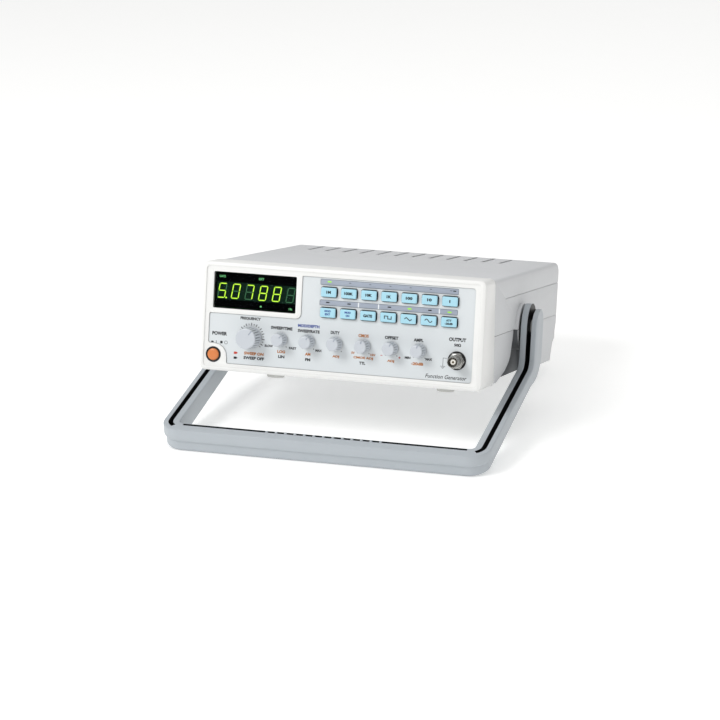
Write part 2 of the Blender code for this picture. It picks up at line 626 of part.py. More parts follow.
def handle_stations():
    """Stations along the right half of the handle, from the top of its arm to the crossbar.

    Each is the inner front corner of the section, the outward direction across the thickness, the
    direction that the open edge faces, and the section's depth, in millimetres.
    """
    down = Vector((0.0, -math.cos(LOWER_SLOPE), -math.sin(LOWER_SLOPE)))
    up = Vector((0.0, -math.sin(LOWER_SLOPE), math.cos(LOWER_SLOPE)))
    out = Vector((1.0, 0.0, 0.0))
    forward = Vector((0.0, -1.0, 0.0))
    front_y = PIVOT_Y - HUB_HALF_DEPTH
    stations = []
    for k in range(7):
        rise = HUB_TOP_RISE * math.cos(math.radians(90 * k / 6 * 0.985 + 1.35))
        reach = HUB_HALF_DEPTH * math.sqrt(max(1 - (rise / HUB_TOP_RISE) ** 2, 0.0)) ** 0.9
        reach = max(reach, 2.5)
        corner = Vector((ARM_INNER_X, PIVOT_Y - reach, PIVOT_Z + rise))
        stations.append((corner, out, forward, 2 * reach))
    stations.append((Vector((ARM_INNER_X, front_y, 30.0)), out, forward, 2 * HUB_HALF_DEPTH))
    bend = math.pi / 2 - LOWER_SLOPE
    tangent = ELBOW_RADIUS * math.tan(bend / 2)
    centre = Vector((ARM_INNER_X, front_y - ELBOW_RADIUS, ELBOW_Z + tangent))
    for k in range(7):
        angle = bend * k / 6
        facing = Vector((0.0, -math.cos(angle), math.sin(angle)))
        share = (1 - math.cos(math.pi * k / 6)) / 2
        depth = 2 * HUB_HALF_DEPTH + (LOWER_DEPTH - 2 * HUB_HALF_DEPTH) * share ** 0.8
        stations.append((centre - facing * ELBOW_RADIUS, out, facing, depth))
    elbow = Vector((ARM_INNER_X, front_y, ELBOW_Z))
    stations.append((elbow + down * (BAR_REACH - CORNER_RADIUS), out, up, BAR_DEPTH - 1.0))
    pivot = elbow + down * (BAR_REACH - CORNER_RADIUS) - out * CORNER_RADIUS
    for k in range(1, 6):
        angle = math.pi / 2 * k / 5
        across = out * math.cos(angle) + down * math.sin(angle)
        depth = BAR_DEPTH - 1.0 + k / 5
        stations.append((pivot + across * CORNER_RADIUS, across, up, depth))
    return stations


def mirrored(stations):
    flip = Vector((-1.0, 1.0, 1.0))
    return [(corner * flip, across * flip, facing, depth) for corner, across, facing, depth in reversed(stations)]


def handle_section(station):
    """The handle's section at a station: its outer face steps in over the rear half."""
    corner, across, facing, depth = station
    half = depth * 0.5
    chamfer = min(1.0, depth * 0.2)
    profile = [
        (0.0, -chamfer), (chamfer, 0.0), (ARM_THICKNESS - chamfer, 0.0), (ARM_THICKNESS, -chamfer),
        (ARM_THICKNESS, -half), (ARM_THICKNESS - STEP_INSET, -half), (ARM_THICKNESS - STEP_INSET, -depth + chamfer),
        (ARM_THICKNESS - STEP_INSET - chamfer, -depth), (chamfer, -depth), (0.0, -depth + chamfer),
    ]
    return [(corner + across * a + facing * b) * MM for a, b in profile]


def channel_depth(corner):
    """How deep the open channel is cut at a station; it runs out where the corner begins."""
    if corner.z > 28.0:
        return 26.0
    share = min(max((28.0 - corner.z) / 22.0, 0.0), 1.0)
    return 26.0 + (9.5 - 26.0) * share


def build_handle():
    right = handle_stations()
    bm = bmesh.new()
    add_loft(bm, [handle_section(s) for s in right + mirrored(right)])
    handle = make("carry_handle", bm, "handle_plastic", origin=(0.0, PIVOT_Y, PIVOT_Z))
    channels = bmesh.new()
    low, high = ARM_INNER_WALL, ARM_INNER_WALL + CHANNEL_WIDTH
    cut = []
    for corner, across, facing, _ in right:
        if across.y < -0.8:
            break
        if across.y < -0.01:
            depth = 9.5 * (1 + across.y * 1.15)
        else:
            depth = channel_depth(corner)
        if not cut:
            cut.append((corner + Vector((0.0, 0.0, 4.0)), across, facing, depth))
        cut.append((corner, across, facing, max(depth, 0.4)))
    for stations in (cut, mirrored(cut)):
        rings = []
        for corner, across, facing, depth in stations:
            rings.append([(corner + across * a + facing * b) * MM
                          for a, b in ((low, 12.0), (high, 12.0), (high, -depth), (low, -depth))])
        add_loft(channels, rings)
    bmesh.ops.recalc_face_normals(channels, faces=channels.faces)
    combine(handle, channels, "DIFFERENCE", "channels")
    arch = [(PIVOT_Y - 21.0, 75.0), (PIVOT_Y - 21.0, PIVOT_Z + 1.0)]
    for k in range(9):
        angle = math.radians(4.0 + 172.0 * k / 8)
        arch.append((PIVOT_Y - 18.9 * math.cos(angle), PIVOT_Z + OUTER_WALL_RISE * math.sin(angle)))
    arch += [(PIVOT_Y + 21.0, PIVOT_Z + 1.0), (PIVOT_Y + 21.0, 75.0)]
    tops = bmesh.new()
    for side in (-1, 1):
        near, far = sorted((side * (ARM_INNER_X + high - 0.5), side * (ARM_INNER_X + ARM_THICKNESS + 3.0)))
        add_prism(tops, "x", arch, near, far)
    combine(handle, tops, "DIFFERENCE", "outer_wall_tops")
    bores = bmesh.new()
    for side in (-1, 1):
        near, far = sorted((side * (ARM_INNER_X - 5.0), side * (ARM_INNER_X + ARM_INNER_WALL + 1.0)))
        add_prism(bores, "x", circle(5.3, 24, PIVOT_Y, PIVOT_Z), near, far)
    combine(handle, bores, "DIFFERENCE", "pivot_bores")

    for side, word in ((-1, "left"), (1, "right")):
        stub_end = ARM_INNER_X + ARM_INNER_WALL - GAP
        hub = loft("x", [
            (side * 111.5, circle(8.2, 20)), (side * 113.6, circle(8.2, 20)), (side * 113.6, circle(6.0, 20)),
            (side * (BOSS_FACE_X + GAP), circle(6.0, 20)), (side * (BOSS_FACE_X + GAP), circle(17.0, 20)),
            (side * (ARM_INNER_X - GAP), circle(17.0, 20)), (side * (ARM_INNER_X - GAP), circle(5.0, 20)),
            (side * stub_end, circle(5.0, 20)), (side * stub_end, circle(2.3, 20)), (side * 124.0, circle(2.3, 20)),
        ])
        piece = make(f"handle_hub_{word}", hub, "black_plastic", smooth=True)
        piece.location = Vector((0.0, PIVOT_Y, PIVOT_Z)) * MM
        head = ARM_INNER_X + ARM_INNER_WALL + GAP
        screw = loft("x", [
            (side * 126.0, circle(2.0, 16)), (side * head, circle(2.0, 16)), (side * head, circle(7.0, 16)),
            (side * (head + 1.6), circle(7.0, 16)), (side * (head + 2.4), circle(5.0, 16)),
        ])
        piece = make(f"handle_screw_{word}", screw, "zinc_steel", smooth=True)
        piece.location = Vector((0.0, PIVOT_Y, PIVOT_Z)) * MM


def stance_angle():
    """The lean at which the crossbar's lowest edge and the rear feet touch the same plane."""
    down = Vector((0.0, -math.cos(LOWER_SLOPE), -math.sin(LOWER_SLOPE)))
    up = Vector((0.0, -math.sin(LOWER_SLOPE), math.cos(LOWER_SLOPE)))
    elbow = Vector((0.0, PIVOT_Y - HUB_HALF_DEPTH, ELBOW_Z))
    toe = elbow + down * (BAR_REACH + ARM_THICKNESS - STEP_INSET - 1.0) - up * BAR_DEPTH
    heel = Vector((0.0, FOOT_REAR_Y + 7.4, FOOT_FOOT_Z))
    return math.atan2(heel.z - toe.z, heel.y - toe.y)


def stand_up():
    """Parent everything to one leaning empty, then bring the whole to rest at the origin."""
    stance = bpy.data.objects.new("stance", None)
    bpy.context.scene.collection.objects.link(stance)
    for obj in list(bpy.context.scene.collection.objects):
        if obj is not stance:
            obj.parent = stance
    stance.rotation_euler = (-stance_angle(), 0.0, 0.0)
    bpy.context.view_layer.update()
    graph = bpy.context.evaluated_depsgraph_get()
    low, high = Vector((1e9,) * 3), Vector((-1e9,) * 3)
    for obj in bpy.context.scene.collection.objects:
        if obj.type != "MESH" or obj.hide_render:
            continue
        seen = obj.evaluated_get(graph)
        for vertex in seen.data.vertices:
            p = seen.matrix_world @ vertex.co
            low = Vector(map(min, low, p))
            high = Vector(map(max, high, p))
    stance.location = (0.0, -(low.y + high.y) / 2, -low.z)
    bpy.context.view_layer.update()


def main():
    clear_scene()
    build_front()
    build_buttons()
    build_knobs()
    build_connectors()
    build_case()
    build_insides()
    build_feet()
    build_handle()
    stand_up()


main()
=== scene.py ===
"""Visual model of a bench function generator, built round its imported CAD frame.

Every piece is modelled level in the instrument's own frame (X right, Y back from the front rim,
Z up from the underside of the bezel, millimetres), then settled into the leaning stance in which
it stands on its carrying handle.
"""

import json
import logging
import math
from collections.abc import Callable, Mapping, Sequence
from dataclasses import dataclass, field
from enum import Enum
from typing import Any

import bmesh
import bpy
from mathutils import Matrix, Vector


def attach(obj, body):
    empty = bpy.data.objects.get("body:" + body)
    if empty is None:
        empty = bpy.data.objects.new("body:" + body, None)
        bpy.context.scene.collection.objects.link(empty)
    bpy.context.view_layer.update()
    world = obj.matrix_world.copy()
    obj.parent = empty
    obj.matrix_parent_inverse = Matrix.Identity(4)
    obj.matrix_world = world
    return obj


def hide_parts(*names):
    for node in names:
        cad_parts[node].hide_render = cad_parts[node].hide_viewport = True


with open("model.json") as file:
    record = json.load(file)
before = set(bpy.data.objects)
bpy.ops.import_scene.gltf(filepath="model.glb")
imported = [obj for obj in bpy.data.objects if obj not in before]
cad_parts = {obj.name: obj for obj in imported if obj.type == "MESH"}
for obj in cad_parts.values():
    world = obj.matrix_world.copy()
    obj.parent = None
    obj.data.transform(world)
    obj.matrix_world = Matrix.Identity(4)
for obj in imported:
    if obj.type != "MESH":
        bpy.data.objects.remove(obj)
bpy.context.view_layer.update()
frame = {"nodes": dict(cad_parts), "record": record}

LOG = logging.getLogger("function_generator")
MM = 0.001
GAP = 0.3
MERGE_M = 0.00002
FLAT_DEGREES = 0.4

Outline = list[tuple[float, float]]
Ring = list[Vector]


# ---- Stance ----


@dataclass(frozen=True)
class Stance:
    """How the level instrument frame is turned and moved to stand on the bench."""

    lean: float
    shift: Vector

    @classmethod
    def from_record(cls, record: Mapping[str, Any]) -> "Stance":
        """Work the stance out from the record's top face and handle hinge.

        Args:
            record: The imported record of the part.

        Returns:
            The stance in which the CAD frame stands.
        """
        top = next(m for m in record["mounts"] if m["name"] == "top_face")
        hinge = next(j for j in record["behaviour"]["joints"] if j["name"] == "handle_swing")
        lean = math.atan2(top["axis"][1], top["axis"][2])
        turn = Matrix.Rotation(-lean, 3, "X")
        pivot = Vector((0.0, CarryHandle.pivot_y, CarryHandle.pivot_z)) * MM
        return cls(lean, Vector(hinge["pos_m"]) - turn @ pivot)

    def matrix(self) -> Matrix:
        """The matrix from the level frame in metres to the world."""
        return Matrix.Translation(self.shift) @ Matrix.Rotation(-self.lean, 4, "X")


# ---- Finishes ----


def linear(code: str) -> tuple[float, float, float, float]:
    """Turn an sRGB hex colour into linear red, green, blue and an alpha of one.

    Args:
        code: Six hex digits, with or without a leading hash.

    Returns:
        The linear colour that a shader socket takes.
    """
    code = code.lstrip("#")
    values = [int(code[i:i + 2], 16) / 255.0 for i in (0, 2, 4)]
    red, green, blue = (v / 12.92 if v <= 0.04045 else ((v + 0.055) / 1.055) ** 2.4 for v in values)
    return red, green, blue, 1.0


def add_node(
    tree: bpy.types.NodeTree,
    kind: str,
    settings: Mapping[str, Any] | None = None,
    inputs: Mapping[str | int, Any] | None = None,
) -> bpy.types.Node:
    """Add one shader node with its settings, values and links.

    Args:
        tree: The node tree that gets the node.
        kind: The node's type name.
        settings: Attributes of the node itself.
        inputs: Socket name or number to a value, or to the output socket that feeds it.

    Returns:
        The new node.
    """
    node = tree.nodes.new(kind)
    for key, value in (settings or {}).items():
        setattr(node, key, value)
    for key, value in (inputs or {}).items():
        if isinstance(value, bpy.types.NodeSocket):
            tree.links.new(value, node.inputs[key])
        else:
            node.inputs[key].default_value = value
    return node


class Surface(Enum):
    """How a surface was made, which decides its fine pattern."""

    MOULDED = "moulded"
    FILM = "film"
    GLOSS = "gloss"
    PLATED = "plated"
    LAMP = "lamp"
    BOARD = "board"
    LAMINATED = "laminated"


@dataclass(frozen=True)
class Finish:
    """One real material with its colour, gloss and fine pattern."""

    name: str
    colour: str
    shade: str
    surface: Surface
    roughness: float
    grain_mm: float
    depth_mm: float = 0.0
    metallic: float = 0.0
    ior: float = 1.5
    coat: float = 0.0
    glow: float = 0.0
    alpha: float = 1.0
    spread: float = 0.06
    blotch_mm: float = 35.0
    # Strength of the painted shade that darkens the colour in creases and corners.
    crease_shade: float = 0.0

    def material(self) -> bpy.types.Material:
        """Build the node material on first use and return it.

        Returns:
            The material of this finish.
        """
        found = bpy.data.materials.get(self.name)
        if found:
            return found
        made = bpy.data.materials.new(self.name)
        made.use_nodes = True
        tree = made.node_tree
        shader = tree.nodes["Principled BSDF"]
        colour, grain = self._pattern(tree)
        tree.links.new(colour, shader.inputs["Base Color"])
        rough = add_node(tree, "ShaderNodeMapRange", inputs={
            "Value": grain,
            "To Min": max(self.roughness - self.spread, 0.02),
            "To Max": self.roughness + self.spread,
        })
        tree.links.new(rough.outputs["Result"], shader.inputs["Roughness"])
        if self.depth_mm > 0.0:
            bump = add_node(tree, "ShaderNodeBump", inputs={
                "Height": grain, "Strength": 0.6, "Distance": self.depth_mm * MM,
            })
            tree.links.new(bump.outputs["Normal"], shader.inputs["Normal"])
        shader.inputs["Metallic"].default_value = self.metallic
        if self.metallic < 0.5:
            shader.inputs["IOR"].default_value = self.ior
        shader.inputs["Coat Weight"].default_value = self.coat
        shader.inputs["Coat Roughness"].default_value = 0.08
        if self.alpha < 1.0:
            shader.inputs["Alpha"].default_value = self.alpha
        if self.glow > 0.0:
            tree.links.new(colour, shader.inputs["Emission Color"])
            shader.inputs["Emission Strength"].default_value = self.glow
        made.diffuse_color = linear(self.colour)
        return made

    def _pattern(self, tree: bpy.types.NodeTree) -> tuple[bpy.types.NodeSocket, bpy.types.NodeSocket]:
        """Add the nodes of the colour, of the painted shade in creases and of the fine grain.

        Args:
            tree: The material's node tree.

        Returns:
            The colour output and the grain output, which runs from 0 to 1.
        """
        place = add_node(tree, "ShaderNodeTexCoord").outputs["Object"]
        fine = add_node(tree, "ShaderNodeTexNoise", inputs={
            "Vector": place, "Scale": 1.0 / (self.grain_mm * MM), "Detail": 3.0, "Roughness": 0.55,
        }).outputs["Fac"]
        if self.surface is Surface.LAMINATED:
            fine = add_node(tree, "ShaderNodeTexWave", {"bands_direction": "Y"}, {
                "Vector": place, "Scale": 1.0 / (self.grain_mm * MM), "Distortion": 0.4,
            }).outputs["Fac"]
        if self.surface is Surface.BOARD:
            fine = add_node(tree, "ShaderNodeTexBrick", inputs={
                "Vector": place, "Scale": 1.0 / (self.grain_mm * MM), "Mortar Size": 0.03,
                "Color1": (0.2, 0.2, 0.2, 1.0), "Color2": (0.5, 0.5, 0.5, 1.0),
                "Mortar": (1.0, 1.0, 1.0, 1.0),
            }).outputs["Fac"]
        blotch = add_node(tree, "ShaderNodeTexNoise", inputs={
            "Vector": place, "Scale": 1.0 / (self.blotch_mm * MM), "Detail": 4.0, "Roughness": 0.6,
        }).outputs["Fac"]
        share = add_node(tree, "ShaderNodeMath", {"operation": "MULTIPLY"}, {0: blotch, 1: 0.6}).outputs[0]
        speck = add_node(tree, "ShaderNodeMath", {"operation": "MULTIPLY_ADD"}, {0: fine, 1: 0.4, 2: share})
        tone = add_node(tree, "ShaderNodeMix", {"data_type": "RGBA"}, {
            "Factor": speck.outputs[0], "A": linear(self.colour), "B": linear(self.shade),
        }).outputs["Result"]
        # Painted shade: ambient occlusion darkens the colour in creases and corners.
        if self.crease_shade > 0.0:
            reach = add_node(tree, "ShaderNodeAmbientOcclusion", {"samples": 4}, {"Distance": 2.5 * MM})
            crease = add_node(tree, "ShaderNodeMapRange", inputs={
                "Value": reach.outputs["AO"], "From Min": 0.25, "From Max": 0.85, "To Min": 1.0 - self.crease_shade,
                "To Max": 1.0,
            })
            tone = add_node(tree, "ShaderNodeMix", {"data_type": "RGBA", "blend_type": "MULTIPLY"}, {
                "Factor": 1.0, "A": tone, "B": crease.outputs["Result"],
            }).outputs["Result"]
        return tone, fine


# Off-white ABS of the bezel, spark-eroded mould: a very fine satin grain and slightly warm.
BEZEL_ABS = Finish("satin_abs_off_white", "#F6F6F4", "#EFEFED", Surface.MOULDED, 0.42, 0.5, 0.012, ior=1.53,
                   crease_shade=0.25)
# Light grey ABS of the case halves, a coarser sprayed grain than the bezel.
COVER_ABS = Finish("grained_abs_light_grey", "#D9DADC", "#CED0D2", Surface.MOULDED, 0.55, 0.7, 0.03, ior=1.53,
                   crease_shade=0.25)
# Blue-grey ABS of the carrying handle, satin, slightly darker where hands polish it unevenly.
HANDLE_ABS = Finish("satin_abs_blue_grey", "#B6BCC1", "#ACB3B9", Surface.MOULDED, 0.46, 0.6, 0.02, ior=1.53,
                    crease_shade=0.3)
# Cool grey ABS of the knobs, smoother than the case.
KNOB_ABS = Finish("smooth_abs_cool_grey", "#CED3D9", "#C4C9D0", Surface.MOULDED, 0.36, 0.5, 0.008, ior=1.53,
                  coat=0.1, blotch_mm=9.0, crease_shade=0.65)
# Printed polyester film glued on the front plate: flat, with a faint tooth.
OVERLAY_FILM = Finish("textured_polyester_film", "#DFE4E6", "#D9DEE1", Surface.FILM, 0.48, 0.35, 0.006,
                      ior=1.57, crease_shade=0.2)
# Grey-blue translucent strips that hide the indicator lamps.
STRIP_FILM = Finish("smoked_polyester_strip", "#A9B1BF", "#9FA8B7", Surface.FILM, 0.32, 0.4, 0.004, ior=1.57)
# Light blue ABS keycaps.
KEY_ABS = Finish("keycap_abs_light_blue", "#B2E0EF", "#A6D8EA", Surface.MOULDED, 0.38, 0.4, 0.008, ior=1.53,
                 blotch_mm=6.0)
# Painted shade: dark teal on the side walls and stem of each keycap, standing for the shade on them.
KEY_WALL_SHADE = Finish("painted_key_wall_shade_dark_teal", "#33474F", "#2A3C44", Surface.MOULDED, 0.6, 0.4, 0.01)
# Orange ABS of the power button.
ORANGE_ABS = Finish("button_abs_orange", "#E28A4E", "#D97D42", Surface.MOULDED, 0.34, 0.4, 0.01, ior=1.53,
                    blotch_mm=4.0)
# Black nylon of hubs, washers and sockets, and painted shade in the handle's channels, grip slot and notch.
BLACK_NYLON_AND_SHADE = Finish("black_nylon_and_painted_shade", "#17181A", "#101113", Surface.MOULDED, 0.5, 0.5, 0.02)
# Nickel plate on turned brass: bright, with fine turning marks.
NICKEL = Finish("nickel_plated_brass", "#B6B6B3", "#9E9E9B", Surface.PLATED, 0.24, 0.25, 0.003, metallic=1.0,
                spread=0.05, blotch_mm=3.0)
# Gold flash on the centre contact.
GOLD = Finish("gold_flashed_contact", "#8A7648", "#75623A", Surface.PLATED, 0.3, 0.2, metallic=1.0)
# White PTFE insulator in the sockets.
PTFE = Finish("turned_ptfe_white", "#F1EEE6", "#E6E2D8", Surface.MOULDED, 0.5, 0.3, 0.004)
# Zinc-plated steel of the screws.
ZINC = Finish("zinc_plated_steel", "#B9BAB8", "#A6A7A5", Surface.PLATED, 0.38, 0.3, 0.006, metallic=1.0)
# Smoked acrylic pane over the display.
ACRYLIC = Finish("smoked_acrylic_pane", "#06080A", "#040506", Surface.GLOSS, 0.1, 2.0, ior=1.08, alpha=0.28,
                 spread=0.02)
# Black epoxy face of the display block.
EPOXY = Finish("black_display_epoxy", "#040507", "#020305", Surface.GLOSS, 0.4, 0.8, ior=1.1)
# Dark green background of the digits, with a faint painted glow.
DIGIT_BACK = Finish("dark_green_display_back", "#1F3A2C", "#193225", Surface.GLOSS, 0.5, 0.8, ior=1.1,
                    glow=0.35)
# Segments that are off, which still pass a little light.
DIM_SEGMENT = Finish("unlit_green_segment", "#437A55", "#396F4A", Surface.LAMP, 0.4, 0.6, glow=1.05)
# Segments that are lit.
LIT_SEGMENT = Finish("lit_green_segment", "#D2F23A", "#8FDC3E", Surface.LAMP, 0.4, 0.9, glow=2.6,
                     blotch_mm=3.0)
# Lit legends and dots of the display, dimmer than the digits.
LEGEND_LAMP = Finish("lit_green_legend", "#7BD08A", "#66BE78", Surface.LAMP, 0.4, 0.6, glow=1.6)
# Lamps behind the strips.
LIT_LAMP = Finish("lit_lamp_lens", "#A8E04C", "#7CC83E", Surface.LAMP, 0.3, 0.5, glow=0.4, blotch_mm=1.5)
# Screen-printed inks; the dark grey one also paints the shade in the gaps round the keys.
DARK_INK_AND_GAP_SHADE = Finish("dark_grey_ink_and_painted_gap_shade", "#1E2126", "#1A1C20", Surface.FILM, 0.6, 0.3)
GREY_INK = Finish("screen_ink_mid_grey", "#565C63", "#4D535A", Surface.FILM, 0.6, 0.3)
ORANGE_INK = Finish("screen_ink_orange", "#BA7230", "#B06826", Surface.FILM, 0.6, 0.3)
RED_INK = Finish("screen_ink_red", "#C8402C", "#BC3824", Surface.FILM, 0.6, 0.3)
BLUE_INK = Finish("screen_ink_blue", "#2E4A9E", "#274190", Surface.FILM, 0.6, 0.3)
WHITE_INK = Finish("screen_ink_white", "#EEF1F3", "#E6EAED", Surface.FILM, 0.55, 0.3)
# Painted steel of the rear panel.
REAR_PAINT = Finish("powder_coated_steel", "#B4B6B8", "#A9ABAD", Surface.MOULDED, 0.5, 0.6, 0.03)
# Painted shade: dark grey on the floor of the recess that the handle folds into, where the arm keeps the
# light off.
RECESS_SHADE = Finish("painted_recess_shade_dark_grey", "#5C5F62", "#515457", Surface.MOULDED, 0.6, 0.7, 0.02,
                     crease_shade=0.3)
# Moulded rubber of the feet.
FOOT_RUBBER = Finish("moulded_rubber_grey", "#D8D8D4", "#CFCFCB", Surface.MOULDED, 0.75, 0.5, 0.03)
# Glass-fibre circuit board under green solder resist.
BOARD = Finish("solder_resist_green", "#1E6B38", "#2B7C47", Surface.BOARD, 0.4, 6.0, 0.02)
# Varnished transformer laminations, edge on.
IRON = Finish("varnished_laminations", "#5C554E", "#3F3A35", Surface.LAMINATED, 0.5, 1.0, 0.05, metallic=0.5)
# Plain pale studio floor.
FLOOR = Finish("studio_floor", "#F6F6F5", "#F3F3F2", Surface.FILM, 0.8, 3.0, glow=0.36)


# ---- Outlines ----


class Outlines:
    """Flat outlines in millimetres that sections and prisms are made from."""

    @staticmethod
    def circle(radius: float, count: int, u: float = 0.0, v: float = 0.0) -> Outline:
        """A circle of points, counter-clockwise."""
        step = 2.0 * math.pi / count
        return [(u + radius * math.cos(step * i), v + radius * math.sin(step * i)) for i in range(count)]

    @staticmethod
    def rounded(u0: float, u1: float, v0: float, v1: float, radius: float, steps: int = 4) -> Outline:
        """A rectangle with round corners.

        Args:
            u0: Left edge.
            u1: Right edge.
            v0: Lower edge.
            v1: Upper edge.
            radius: Corner radius.
            steps: Facets of one corner.

        Returns:
            The outline, counter-clockwise from the lower left corner.
        """
        centres = ((u0 + radius, v0 + radius, 180.0), (u1 - radius, v0 + radius, 270.0),
                   (u1 - radius, v1 - radius, 0.0), (u0 + radius, v1 - radius, 90.0))
        points = []
        for cu, cv, start in centres:
            for k in range(steps + 1):
                angle = math.radians(start + 90.0 * k / steps)
                points.append((cu + radius * math.cos(angle), cv + radius * math.sin(angle)))
        return points

    @staticmethod
    def hexagon(radius: float, count: int) -> Outline:
        """A hexagon of the given corner radius, sampled at the same angles as a circle."""
        points = []
        for u, v in Outlines.circle(1.0, count):
            within = (math.atan2(v, u) % (math.pi / 3.0)) - math.pi / 6.0
            reach = radius * math.cos(math.pi / 6.0) / math.cos(within)
            points.append((reach * u, reach * v))
        return points

    @staticmethod
    def fluted(radius: float, depth: float, flutes: int, count: int) -> Outline:
        """A circle with evenly spaced narrow grooves.

        Args:
            radius: Radius over the lands.
            depth: Depth of a groove.
            flutes: Number of grooves.
            count: Number of points.

        Returns:
            The outline, counter-clockwise.
        """
        points = []
        for u, v in Outlines.circle(1.0, count):
            wave = max(math.cos(flutes * math.atan2(v, u)) - 0.1, 0.0) / 0.9
            points.append((u * (radius - depth * wave), v * (radius - depth * wave)))
        return points


def section_y(along: float, outline: Outline) -> Ring:
    """An outline as a ring of metre points across the Y axis."""
    return [Vector((u, along, v)) * MM for u, v in outline]


def section_z(along: float, outline: Outline) -> Ring:
    """An outline as a ring of metre points across the Z axis."""
    return [Vector((u, v, along)) * MM for u, v in outline]


def section_x(along: float, outline: Outline) -> Ring:
    """An outline as a ring of metre points across the X axis."""
    return [Vector((along, u, v)) * MM for u, v in outline]


# ---- Workshop ----


class Workshop:
    """The modelling steps that every sub-assembly shares, each a few mesh operators."""

    def __init__(self, stance: Stance) -> None:
        """Keep the stance that finished pieces are settled into."""
        self.stance = stance

    @staticmethod
    def only(*pieces: bpy.types.Object) -> None:
        """Select these pieces alone and make the first one active."""
        bpy.ops.object.select_all(action="DESELECT")
        for piece in pieces:
            piece.select_set(True)
        bpy.context.view_layer.objects.active = pieces[0]

    def loft(self, name: str, rings: Sequence[Ring], hollow: bool = False) -> bpy.types.Object:
        """Extrude a circle's edge from ring to ring, then close the ends.

        Args:
            name: The piece's name.
            rings: Rings of metre points, all of one length.
            hollow: True joins the last ring to the first, as on a tube wall, in place of two caps.

        Returns:
            The closed piece, in the level frame.
        """
        count = len(rings[0])
        bpy.ops.object.select_all(action="DESELECT")
        bpy.ops.mesh.primitive_circle_add(vertices=count, radius=1.0, fill_type="NOTHING")
        piece = bpy.context.active_object
        piece.name = name
        piece.data.name = name
        bpy.ops.object.mode_set(mode="EDIT")
        bpy.ops.mesh.select_mode(type="VERT")
        bpy.ops.mesh.select_all(action="SELECT")
        cage = bmesh.from_edit_mesh(piece.data)
        slots: dict[tuple[float, ...], int] = {}
        for slot, (vertex, point) in enumerate(zip(cage.verts, rings[0])):
            vertex.co = point
            slots[tuple(vertex.co)] = slot
        for ring in rings[1:]:
            bpy.ops.mesh.extrude_region()
            cage = bmesh.from_edit_mesh(piece.data)
            moved: dict[tuple[float, ...], int] = {}
            for vertex in cage.verts:
                if vertex.select:
                    slot = slots[tuple(vertex.co)]
                    vertex.co = ring[slot]
                    moved[tuple(vertex.co)] = slot
            slots = moved
        if not hollow:
            bpy.ops.mesh.edge_face_add()
        cage = bmesh.from_edit_mesh(piece.data)
        cage.verts.ensure_lookup_table()
        if not hollow:
            bpy.ops.mesh.select_all(action="DESELECT")
        for vertex in cage.verts[:count]:
            vertex.select = True
        cage.select_flush(True)
        bmesh.update_edit_mesh(piece.data)
        if hollow:
            bpy.ops.mesh.bridge_edge_loops()
        else:
            bpy.ops.mesh.edge_face_add()
        bpy.ops.mesh.select_all(action="SELECT")
        bpy.ops.mesh.normals_make_consistent(inside=False)
        bpy.ops.object.mode_set(mode="OBJECT")
        return piece

    def prism(self, name: str, outline: Outline, low: float, high: float) -> bpy.types.Object:
        """A plate of the given outline between two depths along Y."""
        return self.loft(name, [section_y(low, outline), section_y(high, outline)])

    def refined(self, node: str, name: str, bevel: float = 0.0, segments: int = 2) -> bpy.types.Object:
        """Copy a CAD node's mesh, merge its loose triangles and soften its edges.

        Args:
            node: The CAD node to copy; the copy stands for it.
            name: The new piece's name.
            bevel: Width of the edge rounding in millimetres, or 0 for none.
            segments: Facets of the rounding.

        Returns:
            The piece, already in its place in the world.
        """
        bpy.ops.object.select_all(action="DESELECT")
        bpy.ops.mesh.primitive_cube_add(size=MM)
        piece = bpy.context.active_object
        spare = piece.data
        piece.data = frame["nodes"][node].data.copy()
        bpy.data.meshes.remove(spare)
        piece.name = name
        piece.data.name = name
        bpy.ops.object.mode_set(mode="EDIT")
        bpy.ops.mesh.select_all(action="SELECT")
        bpy.ops.mesh.remove_doubles(threshold=MERGE_M)
        bpy.ops.mesh.dissolve_limited(angle_limit=math.radians(FLAT_DEGREES))
        bpy.ops.object.mode_set(mode="OBJECT")
        if bevel > 0.0:
            self.soften(piece, bevel, segments)
        self.smooth(piece)
        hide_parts(node)
        return piece

    def refit(
        self, node: str, name: str, finish: Finish, slot: str, body: str = "case", bevel: float = 0.0,
    ) -> bpy.types.Object:
        """Refine a CAD node's mesh, dress it and let it ride on its body.

        Args:
            node: The CAD node to copy.
            name: The new piece's name.
            finish: Its material.
            slot: The record's slot that it stands for; not used.
            body: The body that it rides on.
            bevel: Width of the edge rounding in millimetres, or 0 for none.

        Returns:
            The piece, in its place in the world.
        """
        piece = self.dress(self.refined(node, name, bevel), finish, slot)
        LOG.info("refitted %s", name)
        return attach(piece, body)

    def soften(self, piece: bpy.types.Object, width: float, segments: int = 2, angle: float = 35.0) -> None:
        """Round the edges sharper than an angle with an applied bevel."""
        self.only(piece)
        bevel = piece.modifiers.new("soft_edges", "BEVEL")
        bevel.width = width * MM
        bevel.segments = segments
        bevel.limit_method = "ANGLE"
        bevel.angle_limit = math.radians(angle)
        bevel.use_clamp_overlap = True
        bpy.ops.object.modifier_apply(modifier=bevel.name)

    def carve(self, piece: bpy.types.Object, cutter: bpy.types.Object, operation: str = "DIFFERENCE") -> None:
        """Cut another piece away, or add it, with an applied exact Boolean; the other piece is used up."""
        self.only(piece)
        boolean = piece.modifiers.new("carve", "BOOLEAN")
        boolean.operation = operation
        boolean.solver = "EXACT"
        boolean.material_mode = "TRANSFER"
        boolean.object = cutter
        bpy.ops.object.modifier_apply(modifier=boolean.name)
        bpy.data.objects.remove(cutter, do_unlink=True)

